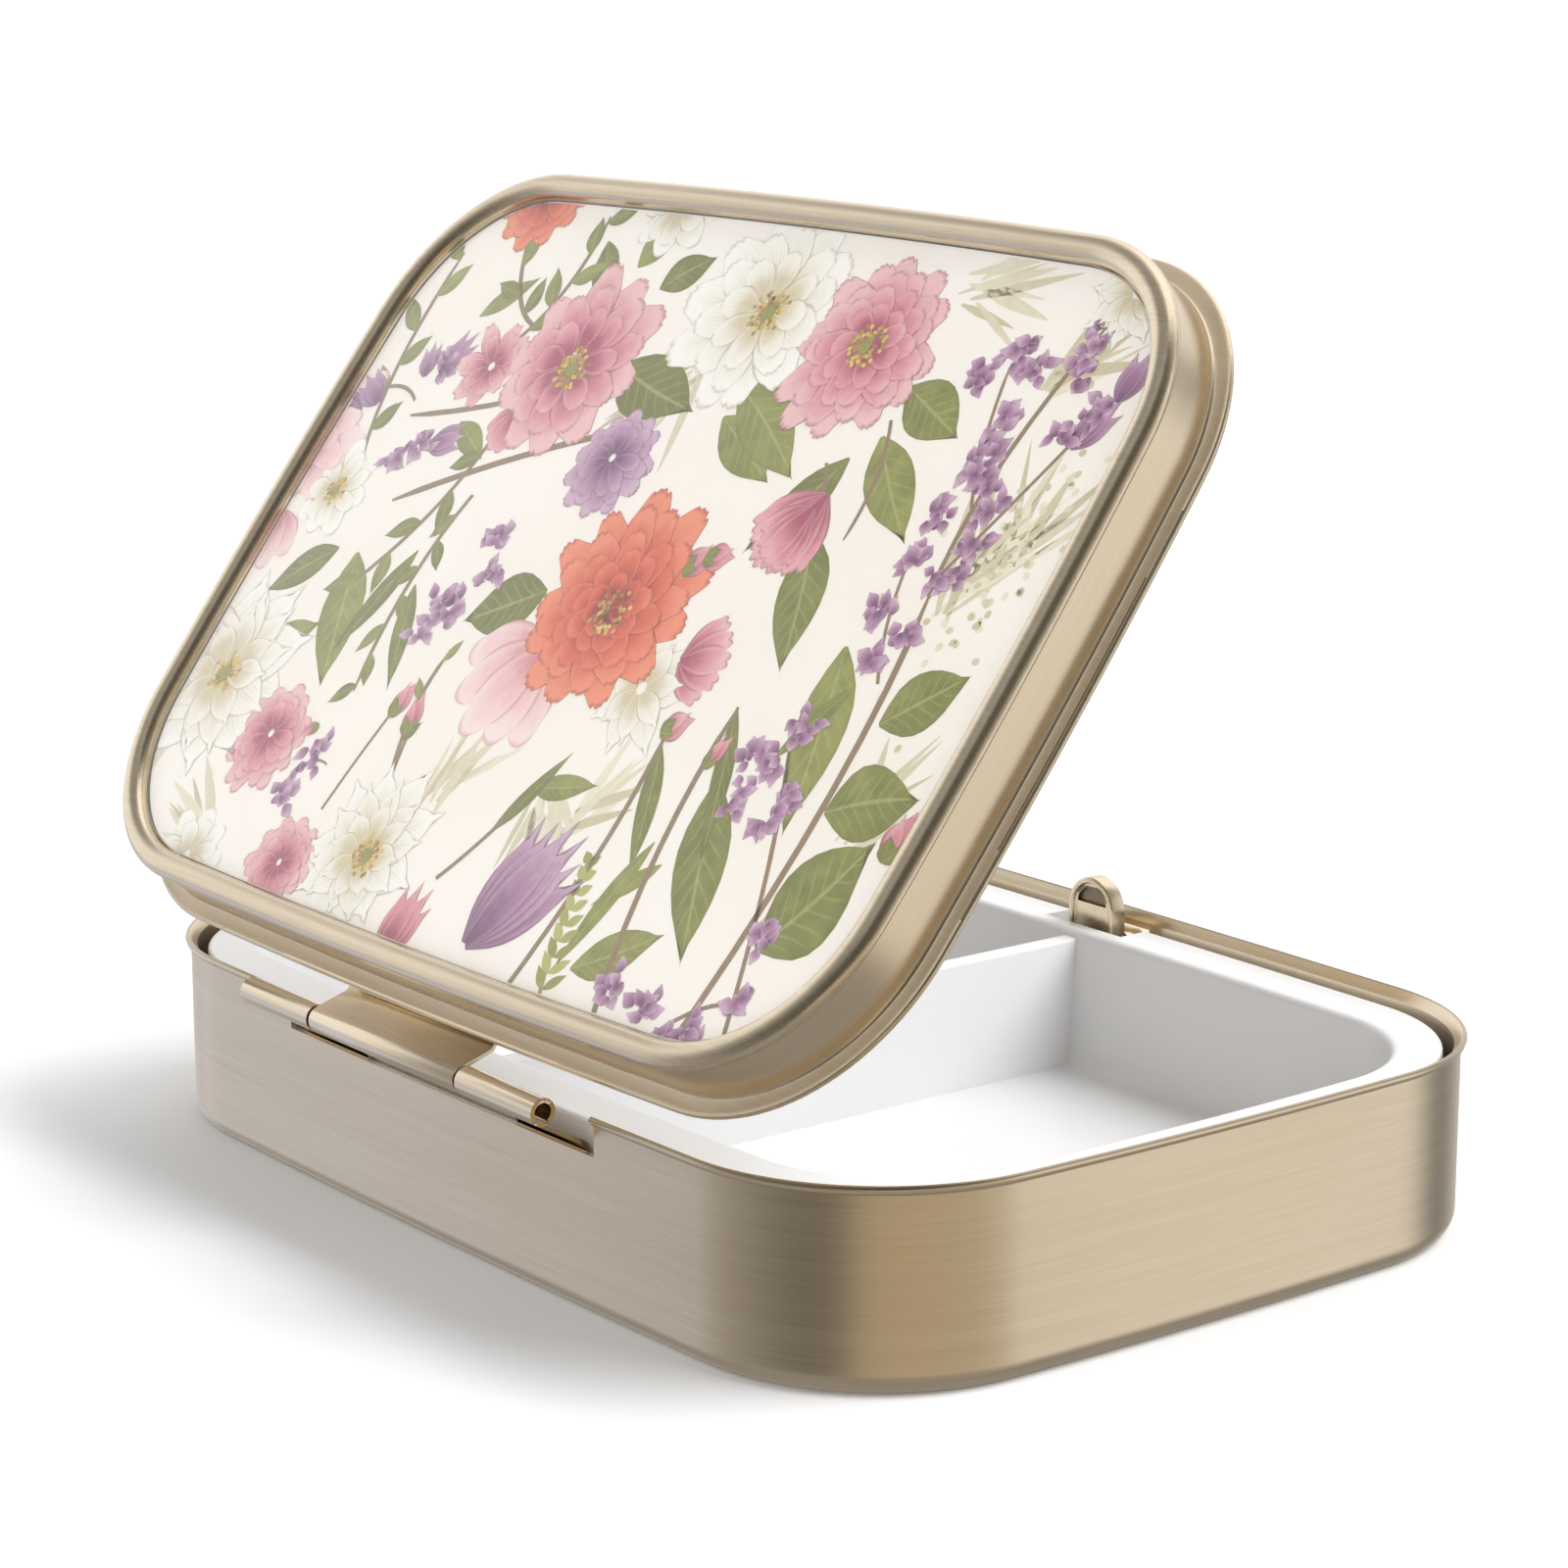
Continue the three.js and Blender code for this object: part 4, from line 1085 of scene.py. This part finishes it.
tray = {
    "gap": 0.58,
    "belowRim": 0.8,
    "wallShort": 2.0,
    "wallLong": 3.2,
    "floor": 1.3,
    "corner": 8.5,
    "foot": 0.2,
    "divider": 1.2,
    "dividerBelow": 0.5,
    "notchWidth": 6.6,
    "notchY": 21.55,
    "footAcross": 4.0,
    "footSetback": 8.0,
}


def makeTray():
    t = tray
    outside = baseBox["overhang"] + baseBox["sheet"] + t["gap"]
    top = rimZ - t["belowRim"]
    under = baseBox["sheet"] + t["foot"]
    floorZ = under + t["floor"]
    size = dict(boxSize)
    size.update({"length": boxSize["length"] - 2 * outside, "width": boxSize["width"] - 2 * outside,
                 "corner": boxSize["corner"] - outside})
    piece = startOutline("insertTray", size, top - 0.25, -1)
    followRows(piece, [(0, top - 0.25), (0, top - 0.3), (0, under + 1.25), (0, under + 1.2),
                       (0.1, under + 0.7), (0.35, under + 0.35), (1.2, under)], size)
    capMouth()
    followRows(piece, [(0, top - 0.25), (0.02, top - 0.15), (0.08, top - 0.06), (0.16, top - 0.02),
                       (0.26, top)], size)
    well = dict(size)
    well.update({"length": size["length"] - 2 * t["wallShort"] + 0.8,
                 "width": size["width"] - 2 * t["wallLong"] + 0.8, "corner": t["corner"] + 0.4})
    cutter = startOutline("well", well, top + 1, -1)
    rows = [(0, top + 1), (0, top), (0.14, top - 0.03), (0.27, top - 0.1), (0.36, top - 0.22),
            (0.42, top - 0.4), (0.43, top - 0.5), (0.85, floorZ + 1.6), (0.92, floorZ + 1.0),
            (1.1, floorZ + 0.5), (1.45, floorZ + 0.15), (2.0, floorZ)]
    followRows(cutter, rows, well)
    capMouth()
    bpy.ops.object.mode_set(mode="OBJECT")
    cutWith(piece, cutter)
    divider = block("divider", t["divider"], well["width"] + 0.6, top - t["dividerBelow"] - under - 0.5,
                    0, 0, under + 0.5, 0.18)
    cutWith(piece, divider, "UNION")
    depth = boxSize["width"] / 2 - t["notchY"]
    notch = block("notch", t["notchWidth"], depth, rimZ + 1, 0, t["notchY"] + depth / 2, -0.5)
    cutWith(piece, notch)
    for side, end in ((1, 1), (1, -1), (-1, 1), (-1, -1)):
        nothingSelected()
        x, y = size["length"] / 2 - t["footSetback"], size["width"] / 2 - t["footSetback"]
        bpy.ops.mesh.primitive_cylinder_add(vertices=32, radius=t["footAcross"] / 2, depth=0.35,
                                            location=(side * x, end * y, under + 0.025))
        cutWith(piece, added("foot"), "UNION")
    settle(piece, "tray", trayWhite, ("insert_tray",), 35)


makeTray()
print("tray made")


# hinge leaves, each a strip rolled round the pin

leaf = {
    "sheet": 0.25,
    "hole": 1.0,
    "roll": 298.0,
    "length": 28.2,
    "centre": 14.0,
    "gap": 0.2,
    "drop": 5.2,
    "taper": 0.9,
    "lidRise": 2.2,
    "sillGap": 0.15,
    "soften": 0.045,
    "softenPast": 50,
}


def rolledLeaf(name, points, turn, fromX, toX):
    radius = (leaf["hole"] + leaf["sheet"]) / 2
    towards = (points[0][0] - hingeY, points[0][1] - hingeZ)
    leave = math.atan2(towards[1], towards[0]) + turn * math.acos(radius / math.hypot(*towards))
    sweep = math.radians(leaf["roll"])
    start = leave + turn * sweep
    piece = startPoint(name, fromX, hingeY + radius * math.cos(start), hingeZ + radius * math.sin(start))
    pull(toX - fromX, 0, 0)
    selectAll()
    bpy.ops.mesh.spin(steps=36, angle=turn * sweep, center=(0, hingeY, hingeZ), axis=(1, 0, 0))
    y, z = hingeY + radius * math.cos(leave), hingeZ + radius * math.sin(leave)
    for nextY, nextZ in points:
        pull(0, nextY - y, nextZ - z)
        y, z = nextY, nextZ
    selectAll()
    bpy.ops.mesh.remove_doubles(threshold=0.0005)
    bpy.ops.mesh.normals_make_consistent(inside=False)
    bpy.ops.object.mode_set(mode="OBJECT")
    applied(piece, "SOLIDIFY", thickness=leaf["sheet"], offset=0, use_even_offset=True)
    return piece


def earTaper(side):
    out = leaf["length"] / 2
    low = rimZ - baseBox["notchDepth"] - leaf["hole"] / 2 - leaf["sheet"]
    wedge = block("taper", 2.0, 9, hingeZ - 0.75 - low, side * (out - leaf["taper"] + 1.0), -26, low)
    inner = out - leaf["taper"]
    selectPoints(wedge, [i for i, v in enumerate(wedge.data.vertices)
                         if v.co.z > low + 1 and abs(v.co.x) < inner + 0.5])
    bpy.ops.transform.translate(value=(side * leaf["taper"], 0, 0))
    bpy.ops.object.mode_set(mode="OBJECT")
    return wedge


def makeBaseLeaf():
    sill = rimZ - baseBox["notchDepth"] + leaf["sillGap"]
    wallY = -boxSize["width"] / 2 + baseBox["overhang"] + baseBox["sheet"]
    tabY = wallY + boxSize["longBow"] * (leaf["length"] / boxSize["length"]) ** 2 + 0.05 + leaf["sheet"] / 2
    half = leaf["length"] / 2
    piece = rolledLeaf("baseHingeLeaf", [
        (tabY - leaf["sheet"], sill + leaf["sheet"]), (tabY - 0.02, sill - 0.05), (tabY, sill - 0.2),
        (tabY, rimZ - leaf["drop"])], -1, -half, half)
    cutWith(piece, block("gap", leaf["centre"] + 2 * leaf["gap"], 8, 10, 0, hingeY + 1, sill - 0.3))
    for side in (-1, 1):
        cutWith(piece, earTaper(side))
        low = rimZ - baseBox["notchDepth"] - leaf["hole"] / 2 - leaf["sheet"]
        cutWith(piece, block("trim", 2.0, 9, 6, side * (half - leaf["taper"] + 1.0), -26, low - 6))
    applied(piece, "BEVEL", width=leaf["soften"], segments=2, limit_method="ANGLE",
            angle_limit=math.radians(leaf["softenPast"]))
    settle(piece, "base", fittingGold, ("base_hinge_leaf",), smooth=42)


def makeLidLeaf():
    under = lidZ - 0.1 - leaf["sheet"] / 2
    inner = lidBox["flange"] + lidBox["sheet"]
    bow = boxSize["longBow"] * (leaf["centre"] / boxSize["length"]) ** 2
    tabY = -boxSize["width"] / 2 + inner + 0.05 + bow + leaf["sheet"] / 2
    piece = rolledLeaf("lidHingeLeaf", [
        (-boxSize["width"] / 2 - 0.25, under), (tabY - 0.16, under), (tabY - 0.05, under + 0.04),
        (tabY, under + 0.16), (tabY, lidZ + leaf["lidRise"])], 1, -leaf["centre"] / 2, leaf["centre"] / 2)
    applied(piece, "BEVEL", width=leaf["soften"], segments=2, limit_method="ANGLE",
            angle_limit=math.radians(leaf["softenPast"]))
    settle(piece, "lid", fittingGold, ("lid_hinge_leaf",), smooth=42, onLid=True)


makeBaseLeaf()
makeLidLeaf()
print("hinge made")


# latch tab, an arch pressed as a shallow cup on a spring strip

latch = {
    "sheet": 0.3,
    "width": 3.9,
    "face": 22.2,
    "depth": 0.9,
    "rise": 2.05,
    "foot": 9.3,
    "windowWidth": 2.5,
    "windowHeight": 1.0,
    "windowAbove": 0.42,
    "stripWidth": 2.8,
    "stripJog": 4.6,
    "stripFoot": 1.7,
    "hole": 1.0,
    "holeZ": 8.5,
    "windowDepth": 0.24,
    "before": 1.0,  # the window's cutter starts this far in front of the face
}


def archFace(name, width, y, foot, top):
    piece = startPoint(name, width / 2, y, foot)
    pull(0, 0, top - width / 2 - foot)
    bpy.ops.mesh.spin(steps=28, angle=math.pi, center=(0, y, top - width / 2), axis=(0, 1, 0))
    pull(0, 0, foot - top + width / 2)
    selectAll()
    bpy.ops.mesh.remove_doubles(threshold=0.0005)
    bpy.ops.mesh.edge_face_add()
    return piece


def pickFaces(piece, wanted):
    bpy.ops.object.mode_set(mode="EDIT")
    bpy.ops.mesh.select_mode(type="FACE")
    bpy.ops.mesh.select_all(action="DESELECT")
    bpy.ops.object.mode_set(mode="OBJECT")
    for face in piece.data.polygons:
        face.select = wanted(face)
    bpy.ops.object.mode_set(mode="EDIT")


def makeLatchTab():
    t = latch
    top = rimZ + t["rise"]
    piece = archFace("latchTab", t["width"], t["face"], t["foot"], top)
    pull(0, t["depth"], 0)
    selectAll()
    bpy.ops.mesh.normals_make_consistent(inside=False)
    pickFaces(piece, lambda face: face.normal.y > 0.9)
    bpy.ops.mesh.inset(thickness=t["sheet"], depth=0, use_even_offset=True)
    bpy.ops.mesh.inset(thickness=0, depth=-(t["depth"] - t["sheet"]), use_even_offset=True)
    pickFaces(piece, lambda face: face.normal.y < -0.9)
    for thickness, depth in ((0.03, 0.07), (0.07, 0.05), (0.10, 0.02), (0.10, -0.02), (0.06, -0.06),
                             (0.05, -0.09), (0.08, -0.02), (0.08, 0.03)):
        bpy.ops.mesh.inset(thickness=thickness, depth=depth, use_even_offset=True)
    bpy.ops.object.mode_set(mode="OBJECT")
    z = rimZ + t["windowAbove"]
    front = t["face"] - t["before"]
    window = startPoint("window", t["windowWidth"] / 2, front, z)
    bpy.ops.mesh.spin(steps=18, angle=math.pi, center=(0, front, z), axis=(0, 1, 0))
    selectAll()
    flatter = t["windowHeight"] * 2 / t["windowWidth"]
    bpy.ops.transform.resize(value=(1, 1, flatter), center_override=(0, 0, z))
    bpy.ops.mesh.edge_face_add()
    pull(0, t["before"] + t["windowDepth"], 0)
    selectAll()
    bpy.ops.mesh.normals_make_consistent(inside=False)
    bpy.ops.object.mode_set(mode="OBJECT")
    cutWith(piece, window)
    middle = t["face"] + t["sheet"] / 2
    wallY = boxSize["width"] / 2 - baseBox["overhang"] - baseBox["sheet"] - 0.05 - t["sheet"] / 2
    strip = startPoint("strip", -t["stripWidth"] / 2, middle, t["foot"] + 0.5)
    pull(t["stripWidth"], 0, 0)
    selectAll()
    pull(0, 0, t["stripJog"] - t["foot"])
    pull(0, wallY - middle, -1.1)
    pull(0, 0, t["stripFoot"] - t["stripJog"] + 0.6)
    bpy.ops.object.mode_set(mode="OBJECT")
    applied(strip, "SOLIDIFY", thickness=t["sheet"], offset=0, use_even_offset=True)
    cutWith(piece, strip, "UNION")
    nothingSelected()
    bpy.ops.mesh.primitive_cylinder_add(vertices=24, radius=t["hole"] / 2, depth=1.2,
                                        location=(0, middle, t["holeZ"]), rotation=(math.pi / 2, 0, 0))
    cutWith(piece, added("hole"))
    dress(piece, tabGold, windowShadeGold)
    # faces sunk inside the window take the darkened gold, painted shade
    for face in piece.data.polygons:
        sunk = 0.02 < face.center.y - t["face"] < t["windowDepth"] + 0.02
        level = -0.05 < face.center.z - z < t["windowHeight"] + 0.05
        inside = abs(face.center.x) < t["windowWidth"] / 2 + 0.02
        face.material_index = 1 if sunk and level and inside else 0
    settle(piece, "latch", None, ("latch_tab",), smooth=38)


catch = {
    "plate": (3.2, 0.25, 2.0),
    "nib": (1.6, 0.5),
    "above": 0.35,
    "raise": 0.2,
    "front": 22.56,
}


def makeCatch():
    c = catch
    wallY = boxSize["width"] / 2 - lidBox["flange"] - lidBox["sheet"] - 0.05
    foot = rimZ + c["above"]
    width, depth, height = c["plate"]
    piece = block("lidCatch", width, depth, height, 0, wallY - depth / 2, foot, 0.06)
    reach = wallY - c["front"]
    nib = block("nib", c["nib"][0], reach, c["nib"][1], 0, wallY - reach / 2, foot + c["raise"], 0.07)
    cutWith(piece, nib, "UNION")
    settle(piece, "lid", fittingGold, ("lid_catch",), smooth=38, onLid=True)


makeLatchTab()
makeCatch()
print("latch and catch made")


# the pin, rivet and button keep their solids

# the pin's near-black tone is painted shade in the knuckle's hole
for name, finish in (("hinge_pin", pinSteelInShade), ("latch_rivet", tabGold), ("latch_button", fittingGold)):
    dress(frame["nodes"][name], finish)
